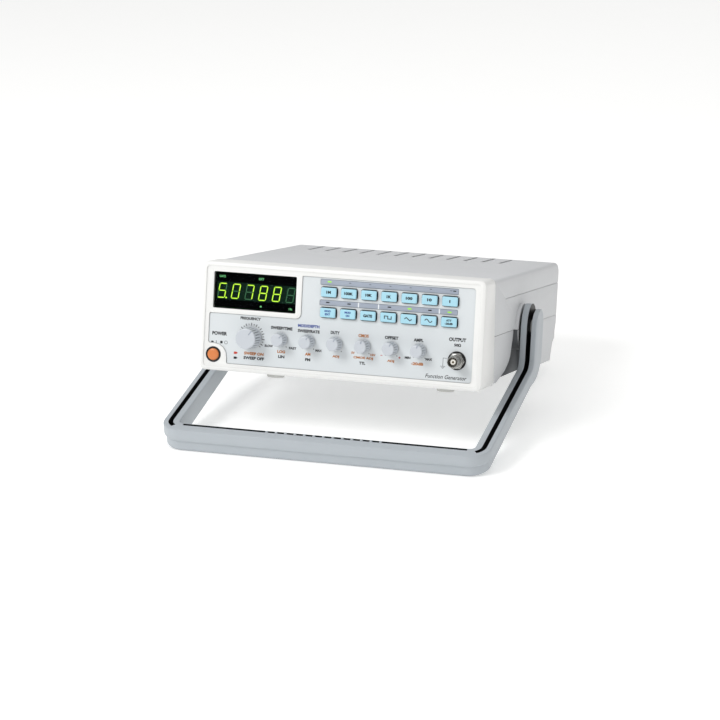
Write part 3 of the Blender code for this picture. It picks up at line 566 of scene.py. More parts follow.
    def smooth(self, piece: bpy.types.Object, angle: float = 35.0) -> None:
        """Shade smooth across edges flatter than an angle."""
        self.only(piece)
        bpy.ops.object.shade_smooth_by_angle(angle=math.radians(angle))

    def join(self, name: str, pieces: Sequence[bpy.types.Object]) -> bpy.types.Object:
        """Join pieces into the first one and give it a name."""
        self.only(*pieces)
        if len(pieces) > 1:
            bpy.ops.object.join()
        piece = bpy.context.active_object
        piece.name = name
        piece.data.name = name
        return piece

    def apply(self, piece: bpy.types.Object) -> None:
        """Put the object's place, turn and size into its mesh."""
        self.only(piece)
        bpy.ops.object.transform_apply(location=True, rotation=True, scale=True)

    def moved(self, source: bpy.types.Object, name: str, matrix: Matrix) -> bpy.types.Object:
        """A copy of a piece with its own mesh, moved by a matrix in the level frame.

        Args:
            source: The piece to copy.
            name: The copy's name.
            matrix: Where the copy goes, from the source's place.

        Returns:
            The copy.
        """
        self.only(source)
        bpy.ops.object.duplicate(linked=False)
        piece = bpy.context.active_object
        piece.name = name
        piece.data.name = name
        piece.matrix_world = matrix
        self.apply(piece)
        return piece

    def settle(self, piece: bpy.types.Object, body: str) -> bpy.types.Object:
        """Move a piece from the level frame into the stance and let it ride on a body."""
        piece.matrix_world = self.stance.matrix() @ piece.matrix_world
        self.apply(piece)
        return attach(piece, body)

    def dress(self, piece: bpy.types.Object, finish: Finish, slot: str) -> bpy.types.Object:
        """Give a piece one material."""
        piece.data.materials.clear()
        piece.data.materials.append(finish.material())
        return piece

    def add_finish(
        self, piece: bpy.types.Object, finish: Finish, chosen: Callable[[Vector, Vector], bool],
    ) -> None:
        """Give the faces picked by place and normal a further material.

        Args:
            piece: A piece in the level frame that already has its first material.
            finish: The finish of the picked faces.
            chosen: Says from a face's centre in millimetres and its normal if it is picked.
        """
        piece.data.materials.append(finish.material())
        index = len(piece.data.materials) - 1
        for face in piece.data.polygons:
            if chosen(face.center / MM, face.normal):
                face.material_index = index

    def words(
        self, body: str, x: float, z: float, width: float, height: float, front: float,
        slant: float = 0.0, weight: float = 0.012, thickness: float = 0.04,
    ) -> bpy.types.Object:
        """Model a line of lettering that faces the front.

        Args:
            body: The characters.
            x: Centre across.
            z: Centre height.
            width: Overall width in millimetres.
            height: Overall height in millimetres.
            front: Y of the ink's face.
            slant: Lean of the letters, as a shear.
            weight: How far the strokes are thickened, as a share of the letter size.
            thickness: Depth of the ink.

        Returns:
            The lettering as a mesh in the level frame.
        """
        bpy.ops.object.select_all(action="DESELECT")
        bpy.ops.object.text_add(location=(0.0, 0.0, 0.0))
        piece = bpy.context.active_object
        piece.data.body = body
        piece.data.shear = slant
        piece.data.offset = weight
        piece.data.extrude = 0.5
        piece.data.resolution_u = 3
        bpy.ops.object.convert(target="MESH")
        piece = bpy.context.active_object
        corners = [Vector(c) for c in piece.bound_box]
        low = Vector(map(min, *corners))
        high = Vector(map(max, *corners))
        size, centre = high - low, (high + low) / 2.0
        scale = Matrix.Diagonal((width * MM / size.x, height * MM / size.y, thickness * MM, 1.0))
        turn = Matrix.Rotation(math.radians(90.0), 4, "X")
        spot = Matrix.Translation(Vector((x, front + thickness / 2.0, z)) * MM)
        piece.matrix_world = spot @ turn @ scale @ Matrix.Translation(-centre)
        self.apply(piece)
        return piece


# ---- Case ----


@dataclass
class Case:
    """The two case halves, the bezel and the feet."""

    foot_x: float = 77.3
    foot_ys: tuple[float, float] = (70.0, 240.0)

    def build(self, shop: Workshop) -> None:
        """Build and dress the case.

        Args:
            shop: The workshop that models the pieces.
        """
        for node, name, finish, slot, bevel in (
            ("front_bezel", "bezel_shell", BEZEL_ABS, "bezel_plastic", 0.35),
            ("top_cover", "upper_case_shell", COVER_ABS, "cover_plastic", 0.3),
            ("bottom_case", "lower_case_shell", COVER_ABS, "cover_plastic", 0.3),
        ):
            piece = shop.refit(node, name, finish, slot, bevel=bevel)
            if node == "bottom_case":
                self.paint_recess_shade(shop, piece)
        self.build_feet(shop)

    def paint_recess_shade(self, shop: Workshop, shell: bpy.types.Object) -> None:
        """Paint the flat floor of the handle's recess, on both sides, darker as painted shade."""
        level = shop.stance.matrix().inverted()

        def in_recess(centre: Vector, _: Vector) -> bool:
            spot = level @ (centre * MM) / MM
            return 117.5 < abs(spot.x) < 125.2 and 40.0 < spot.y < 170.0 and spot.z < 50.0

        # Painted shade: the recess floor is darkened where the arm blocks the light.
        shop.add_finish(shell, RECESS_SHADE, in_recess)

    def build_feet(self, shop: Workshop) -> None:
        """Model one turned foot and copy it to the four corners."""
        count = 48
        profile = ((-10.0, 5.2), (-10.0, 7.0), (-9.7, 7.5), (-9.0, 7.8), (-6.4, 8.1), (-6.2, 7.8),
                   (-5.8, 7.8), (-5.6, 8.2), (1.6, 9.0), (2.6, 9.2))
        inner = ((-9.4, 3.4), (-9.4, 4.9))
        rings = [section_z(z, Outlines.circle(r, count)) for z, r in inner + profile]
        first = shop.loft("foot", rings)
        shop.smooth(first, 30.0)
        shop.dress(first, FOOT_RUBBER, "foot_rubber")
        for row, y in zip(("front", "rear"), self.foot_ys):
            for word, side in (("left", -1), ("right", 1)):
                node = f"{row}_foot_{word}"
                spot = Matrix.Translation(Vector((side * self.foot_x, y, 0.0)) * MM)
                piece = shop.moved(first, f"{row}_{word}_rubber_foot", spot)
                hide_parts(node)
                shop.settle(piece, "case")
        bpy.data.objects.remove(first, do_unlink=True)
        LOG.info("built four feet")


# ---- Front panel ----


@dataclass(frozen=True)
class Label:
    """One printed legend: its characters, centre, size and ink."""

    text: str
    x: float
    z: float
    width: float
    height: float
    ink: Finish = DARK_INK_AND_GAP_SHADE
    slant: float = 0.0
    weight: float = 0.05


@dataclass
class FrontPanel:
    """The overlay film with its print, and the two indicator strips."""

    face: float = 1.9
    ink: float = 0.04
    strip_face: float = 2.0
    strips: tuple[tuple[float, float], ...] = ((80.5, 85.6), (63.1, 67.9))
    dividers: tuple[float, ...] = (14.3, 32.0, 85.3)
    lit: tuple[tuple[float, float], ...] = ((-12.2, 83.5), (59.3, 65.7), (94.2, 65.4))
    labels: tuple[Label, ...] = (
        Label("POWER", -108.4, 32.1, 13.4, 3.19),
        Label("FREQUENCY", -81.0, 46.7, 18.4, 2.86),
        Label("SWEEP/TIME", -52.8, 40.7, 19.4, 2.75),
        Label("MOD/DEPTH", -28.8, 44.3, 19.2, 2.64, BLUE_INK),
        Label("SWEEP/RATE", -28.6, 39.9, 19.6, 2.64),
        Label("DUTY", -5.0, 40.5, 8.0, 2.75),
        Label("CMOS", 20.2, 39.8, 9.2, 2.75, ORANGE_INK),
        Label("OFFSET", 44.9, 40.0, 12.0, 2.75),
        Label("AMPL", 68.6, 39.8, 8.6, 2.75),
        Label("OUTPUT", 102.5, 42.8, 15.0, 3.19),
        Label("50Ω", 102.7, 38.2, 6.0, 2.53),
        Label("SLOW", -63.7, 24.6, 7.4, 2.09),
        Label("FAST", -42.2, 24.2, 6.6, 2.09),
        Label("LOG", -52.3, 20.5, 7.0, 2.53, ORANGE_INK),
        Label("LIN", -52.0, 16.2, 5.6, 2.53),
        Label("MAX", -18.9, 24.0, 5.8, 2.09),
        Label("AM", -28.5, 20.2, 4.8, 2.53, ORANGE_INK),
        Label("FM", -28.3, 15.5, 4.6, 2.53),
        Label("ADJ", -3.5, 20.0, 6.2, 2.53, ORANGE_INK),
        Label("5V", 11.6, 24.6, 3.0, 1.98, ORANGE_INK),
        Label("15V", 29.2, 24.0, 4.6, 1.98, ORANGE_INK),
        Label("CMOS ADJ", 20.8, 20.7, 17.4, 2.53, ORANGE_INK),
        Label("TTL", 20.2, 16.3, 5.4, 2.53),
        Label("ADJ", 45.1, 20.0, 6.2, 2.53, ORANGE_INK),
        Label("MIN", 59.8, 24.2, 5.0, 2.09),
        Label("MAX", 78.4, 24.2, 5.8, 2.09),
        Label("-20dB", 68.4, 19.6, 10.8, 2.53, ORANGE_INK),
        Label("SWEEP ON", -76.8, 16.8, 17.6, 2.64, ORANGE_INK),
        Label("SWEEP OFF", -76.6, 12.9, 18.6, 2.64),
        Label("Function Generator", 94.0, 10.4, 36.0, 3.41, DARK_INK_AND_GAP_SHADE, 0.25, 0.01),
        Label("I", -111.2, 24.6, 0.5, 2.2, GREY_INK),
    )
    small_knobs: tuple[float, ...] = (-53.0, -28.4, -3.8, 20.8, 45.4, 70.0)
    knob_z: float = 31.3
    dial: tuple[float, float] = (-80.0, 30.8)
    dial_ticks: int = 23
    dial_start: float = -132.0
    dial_step: float = 12.0
    long_tick: tuple[float, float] = (10.2, 12.4)
    short_tick: tuple[float, float] = (10.6, 11.8)
    stop_degrees: float = 142.0
    stop_dot: tuple[float, float] = (7.6, 8.5)
    tick_width: float = 0.6
    signs: tuple[tuple[Finish, tuple[float, float], tuple[float, float], float], ...] = (
        (RED_INK, (35.8, 24.4), (37.6, 24.4), 0.5),
        (RED_INK, (51.8, 23.6), (53.6, 23.6), 0.6),
        (RED_INK, (52.7, 22.7), (52.7, 24.5), 0.6),
        (GREY_INK, (94.0, 26.4), (90.6, 26.4), 0.35),
        (GREY_INK, (90.8, 26.4), (90.8, 19.6), 0.35),
        (GREY_INK, (88.6, 19.4), (93.0, 19.4), 0.35),
        (GREY_INK, (89.4, 18.5), (92.2, 18.5), 0.35),
        (GREY_INK, (90.2, 17.6), (91.4, 17.6), 0.35),
    )
    frame_gap: float = 0.3
    frame_rim: float = 0.42
    frame_radii: tuple[float, float] = (1.3, 1.75)
    divider_width: float = 1.1
    divider_inset: float = 0.35
    dash_z: float = 83.6
    dash_half: float = 0.9
    dash_width: float = 0.5
    name_xs: tuple[float, ...] = (-13.0, 5.9, 41.5, 77.0)
    name_z: float = 65.8
    name_half: float = 1.5
    name_width: float = 1.0
    strokes: dict[str, list[bpy.types.Object]] = field(default_factory=dict)

    def build(self, shop: Workshop) -> None:
        """Build the film, the strips, all the print and the painted shade round the keys.

        Args:
            shop: The workshop that models the pieces.
        """
        shop.refit("control_panel", "overlay_film", OVERLAY_FILM, "overlay_film")
        for node in ("upper_led_bar", "lower_led_bar"):
            shop.refit(node, f"{node}_strip", STRIP_FILM, "led_bar_film", bevel=0.15)
        for label in self.labels:
            self.keep(label.ink, shop.words(
                label.text, label.x, label.z, label.width, label.height, self.face - self.ink,
                label.slant, label.weight))
        self.draw_scales(shop)
        self.draw_symbols(shop)
        self.draw_key_gap_shade(shop)
        self.draw_strip_marks(shop)
        # The dark grey ink piece also carries the painted shade rings round the keys.
        for ink_name, pieces in self.strokes.items():
            print_piece = shop.join(f"print_{ink_name}", pieces)
            shop.settle(print_piece, "case")
            LOG.info("printed %s", ink_name)
        self.build_lamps(shop)

    def keep(self, ink: Finish, piece: bpy.types.Object) -> None:
        """Dress a stroke in its ink and file it with the others of that ink."""
        piece.data.materials.clear()
        piece.data.materials.append(ink.material())
        self.strokes.setdefault(ink.name, []).append(piece)

    def stroke(
        self, shop: Workshop, ink: Finish, start: tuple[float, float], end: tuple[float, float], width: float,
        face: float | None = None,
    ) -> None:
        """Print one straight stroke between two points.

        Args:
            shop: The workshop.
            ink: The stroke's ink.
            start: First end as x and z.
            end: Second end as x and z.
            width: Stroke width in millimetres.
            face: Y of the surface it is printed on, the film when left out.
        """
        a, b = Vector(start), Vector(end)
        along = (b - a).normalized()
        side = Vector((-along.y, along.x)) * width / 2.0
        outline = [tuple(p) for p in (a - side, b - side, b + side, a + side)]
        base = self.face if face is None else face
        self.keep(ink, shop.prism("stroke", outline, base - self.ink, base + 0.01))

    def draw_scales(self, shop: Workshop) -> None:
        """Print the dial's ring of long and short ticks and two dots beside each small knob."""
        for k in range(self.dial_ticks):
            near, far = self.long_tick if k % 2 else self.short_tick
            self.tick(shop, self.dial, self.dial_start + self.dial_step * k, near, far)
        for x in self.small_knobs:
            for degrees in (-self.stop_degrees, self.stop_degrees):
                self.tick(shop, (x, self.knob_z), degrees, *self.stop_dot)

    def tick(
        self, shop: Workshop, centre: tuple[float, float], degrees: float, near: float, far: float,
    ) -> None:
        """Print one tick that points away from a centre, its angle taken clockwise from the top."""
        angle = math.radians(degrees)
        way = Vector((math.sin(angle), math.cos(angle)))
        middle = Vector(centre)
        self.stroke(shop, DARK_INK_AND_GAP_SHADE, middle + way * near, middle + way * far, self.tick_width)

    def draw_symbols(self, shop: Workshop) -> None:
        """Print the power and sweep button symbols, the offset signs and the ground mark."""
        flat = self.face - self.ink, self.face + 0.01
        pressed = [(-116.0, 24.0), (-113.4, 24.0), (-113.8, 25.2), (-115.6, 25.2)]
        self.keep(DARK_INK_AND_GAP_SHADE, shop.prism("pressed", pressed, *flat))
        self.keep(DARK_INK_AND_GAP_SHADE, shop.prism("raised", Outlines.rounded(-107.6, -105.4, 23.5, 25.7, 0.3, 1), *flat))
        rings = [section_y(y, Outlines.circle(r, 20, -102.4, 24.6))
                 for y, r in ((flat[0], 1.5), (flat[1], 1.5), (flat[1], 1.15), (flat[0], 1.15))]
        self.keep(GREY_INK, shop.loft("off_ring", rings, hollow=True))
        for ink, z in ((RED_INK, 16.4), (DARK_INK_AND_GAP_SHADE, 12.1)):
            plunger = [(-94.8, z - 1.0), (-92.6, z - 1.0), (-91.2, z), (-92.6, z + 1.0), (-94.8, z + 1.0)]
            self.keep(ink, shop.prism("plunger", plunger, *flat))
        for ink, start, end, width in self.signs:
            self.stroke(shop, ink, start, end, width)

    def draw_key_gap_shade(self, shop: Workshop) -> None:
        """Paint a thin dark frame round each key's opening as the shade in the gap round the key."""
        w, h, rim = Keypad.width / 2.0 + self.frame_gap, Keypad.height / 2.0 + self.frame_gap, self.frame_rim
        front, back = self.face - self.ink, self.face + 0.01
        inner = Outlines.rounded(-w, w, -h, h, self.frame_radii[0], 3)
        outer = Outlines.rounded(-w - rim, w + rim, -h - rim, h + rim, self.frame_radii[1], 3)
        walls = ((front, outer), (back, outer), (back, inner), (front, inner))
        # Painted shade: a dark ring on the film stands for the shade in the gap round each key.
        first = shop.loft("key_gap_shade", [section_y(y, outline) for y, outline in walls], hollow=True)
        for row in Keypad.rows:
            for i in range(Keypad.count):
                spot = Vector((Keypad.first_x + Keypad.pitch * i, 0.0, row[1])) * MM
                self.keep(DARK_INK_AND_GAP_SHADE, shop.moved(first, "key_gap_shade", Matrix.Translation(spot)))
        bpy.data.objects.remove(first, do_unlink=True)

    def draw_strip_marks(self, shop: Workshop) -> None:
        """Print the white dividers of the lower strip and the dark lamp names on both strips."""
        low, high = self.strips[1]
        for x in self.dividers:
            ends = (x, low + self.divider_inset), (x, high - self.divider_inset)
            self.stroke(shop, WHITE_INK, *ends, self.divider_width, self.strip_face)
        for i in range(1, Keypad.count):
            x = Keypad.first_x + Keypad.pitch * i
            ends = (x - self.dash_half, self.dash_z), (x + self.dash_half, self.dash_z)
            self.stroke(shop, GREY_INK, *ends, self.dash_width, self.strip_face)
        self.stroke(shop, DARK_INK_AND_GAP_SHADE, (96.4, 83.5), (99.0, 83.5), 0.9, self.strip_face)
        for x in self.name_xs:
            ends = (x - self.name_half, self.name_z), (x + self.name_half, self.name_z)
            self.stroke(shop, DARK_INK_AND_GAP_SHADE, *ends, self.name_width, self.strip_face)

    def build_lamps(self, shop: Workshop) -> None:
        """Set the lit lamps into the strips."""
        outline = Outlines.rounded(-1.8, 1.8, -0.6, 0.6, 0.55, 4)
        dome = Outlines.rounded(-1.5, 1.5, -0.35, 0.35, 0.3, 4)
        rings = [section_y(self.strip_face - 0.16, dome), section_y(self.strip_face - 0.08, outline),
                 section_y(self.strip_face + 0.05, outline)]
        first = shop.loft("lamp", rings)
        shop.smooth(first, 60.0)
        shop.dress(first, LIT_LAMP, "led_bar_film")
        for i, (x, z) in enumerate(self.lit):
            lamp = shop.moved(first, f"lit_lamp_{i + 1}", Matrix.Translation(Vector((x, 0.0, z)) * MM))
            shop.settle(lamp, "case")
        bpy.data.objects.remove(first, do_unlink=True)
        LOG.info("built %d lit lamps", len(self.lit))


# ---- Display ----


@dataclass
class Display:
    """The smoked pane, the digits behind it and its small legends."""

    left: float = -115.4
    right: float = -41.0
    foot: float = 54.0
    top: float = 85.6
    first_x: float = -108.4
    pitch: float = 12.3
    centre_z: float = 69.2
    digit_width: float = 6.2
    digit_height: float = 12.2
    stroke: float = 0.78
    lean: float = 0.16
    back: float = 3.85
    reading: tuple[str, ...] = ("afgcd", "abcdef", "abc", "abcdefg", "abcdefg", "")
    point_after: int = 0

    def build(self, shop: Workshop) -> None:
        """Build the pane, the block behind it, its digits and legends.

        Args:
            shop: The workshop that models the pieces.
        """
        rings = []
        for y, inset, radius in ((1.5, 0.6, 0.8), (1.8, GAP, 1.0), (3.4, GAP, 1.0)):
            sides = self.left + inset, self.right - inset, self.foot + inset, self.top - inset
            rings.append(section_y(y, Outlines.rounded(*sides, radius)))
        pane = shop.loft("display_pane", rings)
        shop.smooth(pane, 20.0)
        shop.dress(pane, ACRYLIC, "smoked_acrylic")
        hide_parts("display_window")
        shop.settle(pane, "case")
        shop.refit("display_module", "display_block", EPOXY, "display_epoxy")
        strip = shop.prism("digit_background", Outlines.rounded(
            self.left + 2.2, self.right - 1.8, self.centre_z - 7.6, self.centre_z + 7.8, 0.3, 2),
            self.back - 0.1, self.back + 0.1)
        shop.dress(strip, DIGIT_BACK, "display_epoxy")
        shop.settle(strip, "case")
        lit, dim = self.segments(shop)
        lit_piece = shop.join("lit_segments", lit)
        shop.dress(lit_piece, LIT_SEGMENT, "display_epoxy")
        shop.settle(lit_piece, "case")
        dim_piece = shop.join("unlit_segments", dim)
        shop.dress(dim_piece, DIM_SEGMENT, "display_epoxy")
        shop.settle(dim_piece, "case")
        self.build_legends(shop)
        LOG.info("built the display")

    def segments(self, shop: Workshop) -> tuple[list[bpy.types.Object], list[bpy.types.Object]]:
        """Model every bar of every digit.

        Args:
            shop: The workshop.

        Returns:
            The lit bars and the unlit ones.
        """
        w, h = self.digit_width / 2.0, self.digit_height / 2.0
        ends = {
            "a": ((-w, h), (w, h)), "b": ((w, h), (w, 0.0)), "c": ((w, 0.0), (w, -h)),
            "d": ((-w, -h), (w, -h)), "e": ((-w, 0.0), (-w, -h)), "f": ((-w, h), (-w, 0.0)),
            "g": ((-w, 0.0), (w, 0.0)),
        }
        lit: list[bpy.types.Object] = []
        dim: list[bpy.types.Object] = []
        for i, shown in enumerate(self.reading):
            cx = self.first_x + self.pitch * i
            for name, (start, end) in ends.items():
                outline = self.bar(Vector(start), Vector(end))
                placed = [(cx + u + v * self.lean, self.centre_z + v) for u, v in outline]
                piece = shop.prism("segment", placed, self.back - 0.2, self.back - 0.05)
                (lit if name in shown else dim).append(piece)
        cx = self.first_x + self.pitch * self.point_after + w + 1.6
        dot = shop.prism("point", Outlines.circle(0.75, 12, cx - h * self.lean, self.centre_z - h + 0.1),
                         self.back - 0.2, self.back - 0.05)
        lit.append(dot)
        return lit, dim

    def bar(self, start: Vector, end: Vector) -> list[tuple[float, float]]:
        """The six-sided outline of one bar between two digit corners."""
        along = (end - start).normalized()
        side = Vector((-along.y, along.x)) * self.stroke / 2.0
        trim = 0.22
        a, b = start + along * trim, end - along * trim
        nose = along * self.stroke / 2.0
        return [tuple(p) for p in (a, a + nose - side, b - nose - side, b, b - nose + side, a + nose + side)]

    def build_legends(self, shop: Workshop) -> None:
        """Build the small lit legends round the digits."""
        front = self.back - 0.12
        pieces = [
            shop.words("GATE", -108.7, 81.4, 5.6, 1.9, front, weight=0.02, thickness=0.1),
            shop.words("EXT", -73.5, 81.2, 4.6, 1.9, front, weight=0.02, thickness=0.1),
            shop.words("Hz", -46.4, 57.4, 3.0, 1.9, front, weight=0.02, thickness=0.1),
            shop.prism("dot", Outlines.circle(0.8, 12, -73.1, 57.6), front, front + 0.1),
        ]
        legends = shop.join("lit_legends", pieces)
        shop.dress(legends, LEGEND_LAMP, "display_epoxy")
        shop.settle(legends, "case")


# ---- Keys ----


@dataclass
class Keypad:
    """Two rows of seven keys, and the power button."""

    width: float = 13.6
    height: float = 8.0
    first_x: float = -11.8
    pitch: float = 17.75
    count: int = 7
    rows: tuple[tuple[str, float], ...] = (("range_button", 74.7), ("function_button", 57.2))
    front: float = -1.2
    power_x: float = -113.0
    power_z: float = 13.8
    range_words: tuple[str, ...] = ("1M", "100K", "10K", "1K", "100", "10", "1")

    def build(self, shop: Workshop) -> None:
        """Build all the keys.

        Args:
            shop: The workshop that models the pieces.
        """
        first = self.cap(shop)
        for row, z in self.rows:
            for i in range(self.count):
                node = f"{row}_{i + 1}"
                spot = Vector((self.first_x + self.pitch * i, 0.0, z))
                legend = self.legend(shop, row, i)
                key = shop.moved(first, f"{node}_cap", Matrix.Identity(4))
                key = shop.join(f"{node}_cap", [key] + legend)
                key.matrix_world = Matrix.Translation(spot * MM)
                shop.apply(key)
                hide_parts(node)
                shop.settle(key, node)
            LOG.info("built the %s row", row)
        bpy.data.objects.remove(first, do_unlink=True)
        self.build_power(shop)

    def cap(self, shop: Workshop) -> bpy.types.Object:
        """Model one key: a crowned cap with rounded shoulders, its side walls painted dark as shade.

        Returns:
            The key, centred on its own axis.
        """
        def around(grow: float) -> Outline:
            w, h = self.width / 2.0 + grow, self.height / 2.0 + grow
            return Outlines.rounded(-w, w, -h, h, max(1.15 + grow, 0.25), 4)

        steps = ((0.12, -3.4), (0.04, -2.2), (0.0, -0.85), (0.04, -0.6), (0.16, -0.3), (0.38, -0.1),
                 (0.7, 0.0), (1.0, 0.0), (1.05, -0.12), (8.0, -0.12))
        rings = [section_y(self.front + along, around(grow)) for along, grow in steps]
        back = [section_y(7.0, around(0.7)), section_y(7.6, around(0.7)),
                section_y(7.6, Outlines.rounded(-2.0, 2.0, -2.0, 2.0, 0.3, 4)),
                section_y(11.4, Outlines.rounded(-2.0, 2.0, -2.0, 2.0, 0.3, 4))]
        key = shop.loft("key", rings + back)
        shop.smooth(key, 40.0)
        key.data.materials.append(KEY_ABS.material())
        # Painted shade: the side walls behind the shoulders and the stem take the dark teal.
        shop.add_finish(key, KEY_WALL_SHADE, lambda c, n: c.y > self.front + 1.02)
        return key

    def legend(self, shop: Workshop, row: str, index: int) -> list[bpy.types.Object]:
        """Model what is printed on one key.

        Args:
            shop: The workshop.
            row: The row's name.
            index: Which key, from 0.

        Returns:
            The printed pieces, centred on the key's axis and dressed.
        """
        face = self.front + 0.0
        ink = DARK_INK_AND_GAP_SHADE
        if row == "range_button":
            word = self.range_words[index]
            pieces = [shop.words(word, 0.0, 0.1, 1.85 * len(word) + 0.3 if len(word) > 1 else 0.95, 2.5, face,
                                 weight=0.05)]
        elif index == 0 or index == 1:
            ink = BLUE_INK
            pieces = [shop.words("MOD", 0.0, 1.5, 5.4, 1.8, face, weight=0.05),
                      shop.words(("EXT", "ON")[index], 0.0, -1.3, (4.6, 3.2)[index], 1.8, face, weight=0.05)]
        elif index == 2:
            pieces = [shop.words("GATE", 0.0, 0.0, 7.8, 2.5, face, weight=0.05)]
        elif index == 6:
            pieces = [shop.words("ATT", 0.0, 1.5, 4.8, 1.8, face, weight=0.05),
                      shop.words("-20dB", 0.0, -1.3, 7.0, 1.8, face, weight=0.05)]
        else:
            pieces = self.wave(shop, index)
        for piece in pieces:
            piece.data.materials.clear()
            piece.data.materials.append(ink.material())
        return pieces

    def wave(self, shop: Workshop, index: int) -> list[bpy.types.Object]:
        """Model a waveform mark: square, triangle or sine."""
        if index == 3:
            path = [(-3.0, -1.2), (-3.0, 1.2), (0.0, 1.2), (0.0, -1.2), (3.0, -1.2), (3.0, 1.2)]
        elif index == 4:
            path = [(-3.2, 0.0), (-1.6, 1.3), (1.6, -1.3), (3.2, 0.0)]
        else:
            path = [(-3.2 + 0.4 * k, 1.3 * math.sin(2.0 * math.pi * k / 16.0)) for k in range(17)]
        half = 0.34
        pieces = []
        lines = [Vector(p) for p in path]
        left, right = [], []
        for k, point in enumerate(lines):
            before = (point - lines[k - 1]).normalized() if k else (lines[1] - point).normalized()
            after = (lines[k + 1] - point).normalized() if k + 1 < len(lines) else before
            along = (before + after).normalized()
            side = Vector((-along.y, along.x)) * half / max(along.dot(after), 0.5)
            left.append(point + side)
            right.append(point - side)
        outline = [tuple(p) for p in right + left[::-1]]
        pieces.append(shop.prism("wave", outline, self.front, self.front + 0.04))
        return pieces

    def build_power(self, shop: Workshop) -> None:
        """Model the round power button and the black ring it moves in."""
        count = 64
        profile = ((-0.86, 1.2), (-0.82, 2.6), (-0.7, 3.7), (-0.45, 4.5), (-0.1, 4.95), (0.4, 5.1),
                   (9.9, 5.1), (9.9, 6.6), (10.9, 6.6), (10.9, 2.4), (12.6, 2.4))
        button = shop.loft("power_cap", [section_y(y, Outlines.circle(r, count)) for y, r in profile])
        shop.smooth(button, 40.0)
        shop.dress(button, ORANGE_ABS, "orange_plastic")
        button.matrix_world = Matrix.Translation(Vector((self.power_x, 0.0, self.power_z)) * MM)
        shop.apply(button)
        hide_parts("power_button")
        shop.settle(button, "power_button")
        well = ((0.55, 5.25), (0.35, 5.5), (0.35, 6.5), (0.6, 6.75), (0.9, 6.75), (0.9, 5.85), (6.0, 5.85),
                (6.0, 5.25))
        rings = [section_y(y, Outlines.circle(r, count, self.power_x, self.power_z)) for y, r in well]
        ring = shop.loft("power_ring", rings, hollow=True)
        shop.smooth(ring, 40.0)
        shop.dress(ring, BLACK_NYLON_AND_SHADE, "black_plastic")
        shop.settle(ring, "case")
        LOG.info("built the power button")


# ---- Knobs ----


@dataclass(frozen=True)
class KnobSize:
    """The sizes of one kind of knob."""

    front: float
    base: float
    flutes: int
    groove: float
    length: float


@dataclass
class Knobs:
    """The frequency dial knob and the six small knobs, each on its shaft."""

    back: float = 0.9
    small: KnobSize = KnobSize(5.45, 5.9, 16, 0.7, 12.0)
    large: KnobSize = KnobSize(8.95, 9.5, 24, 0.85, 15.5)
    places: tuple[tuple[str, float, float, float], ...] = (
        ("frequency", -80.0, 30.8, 38.0), ("sweep_time", -53.0, 31.3, 44.0),
        ("sweep_rate", -28.4, 31.3, 32.0), ("duty", -3.8, 31.3, 24.0), ("cmos", 20.8, 31.3, 14.0),
        ("offset", 45.4, 31.3, 26.0), ("amplitude", 70.0, 31.3, 12.0),
    )

    def build(self, shop: Workshop) -> None:
        """Build the seven knobs and dress their shafts.

        Args:
            shop: The workshop that models the pieces.
        """
        large, small = self.model(shop, self.large), self.model(shop, self.small)
        for name, x, z, pointing in self.places:
            source = large if name == "frequency" else small
            turn = Matrix.Rotation(math.radians(pointing), 4, "Y")
            spot = Matrix.Translation(Vector((x, 0.0, z)) * MM)
            knob = shop.moved(source, f"{name}_knob_grip", spot @ turn)
            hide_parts(f"{name}_knob")
            shop.settle(knob, f"{name}_knob")
            shop.refit(f"{name}_shaft", f"{name}_spindle", NICKEL, "nickel", f"{name}_shaft")
            LOG.info("built the %s knob", name)
        for source in (large, small):
            bpy.data.objects.remove(source, do_unlink=True)

    def model(self, shop: Workshop, size: KnobSize) -> bpy.types.Object:
        """Model one knob: dished face, rounded nose, fluted grip, plain skirt, pointer and bore.

        Args:
            shop: The workshop.
            size: The sizes of this kind.

        Returns:
            The knob on its own axis, pointing up.
        """
        count = size.flutes * 8
        nose = self.back - size.length
        f, b = size.front, size.base
        plain = [
            (nose + 0.12, f * 0.3), (nose + 0.1, f * 0.55), (nose + 0.02, f - 1.5), (nose, f - 1.1),
            (nose + 0.1, f - 0.7), (nose + 0.32, f - 0.35), (nose + 0.7, f - 0.1), (nose + 1.1, f),
        ]
        rings = [section_y(y, Outlines.circle(r, count)) for y, r in plain]
        grip = [(nose + 1.7, f, size.groove * 0.7), (nose + 2.4, f + 0.05, size.groove),
                (self.back - 2.6, b - 0.05, size.groove), (self.back - 2.0, b, size.groove * 0.6)]
        rings += [section_y(y, Outlines.fluted(r, g, size.flutes, count)) for y, r, g in grip]
        tail = [(self.back - 1.5, b), (self.back - 1.3, b + 0.1), (self.back - 0.3, b + 0.1),
                (self.back, b - 0.15), (self.back, 3.3), (nose + 3.2, 3.3)]
        rings += [section_y(y, Outlines.circle(r, count)) for y, r in tail]
        knob = shop.loft("knob", rings)
        slot = shop.prism("pointer_slot", Outlines.rounded(-0.45, 0.45, f * 0.5, b + 2.0, 0.2, 2), nose - 1.0,
                          nose + 0.55)
        shop.carve(knob, slot)
        shop.smooth(knob, 32.0)
        shop.dress(knob, KNOB_ABS, "knob_plastic")
        line = Outlines.rounded(-0.42, 0.42, f * 0.5 + 0.03, f - 0.4, 0.2, 2)
        inlay = shop.prism("pointer", line, nose + 0.3, nose + 0.56)
        inlay.data.materials.append(STRIP_FILM.material())
        return shop.join("knob", [knob, inlay])


# ---- Sockets ----


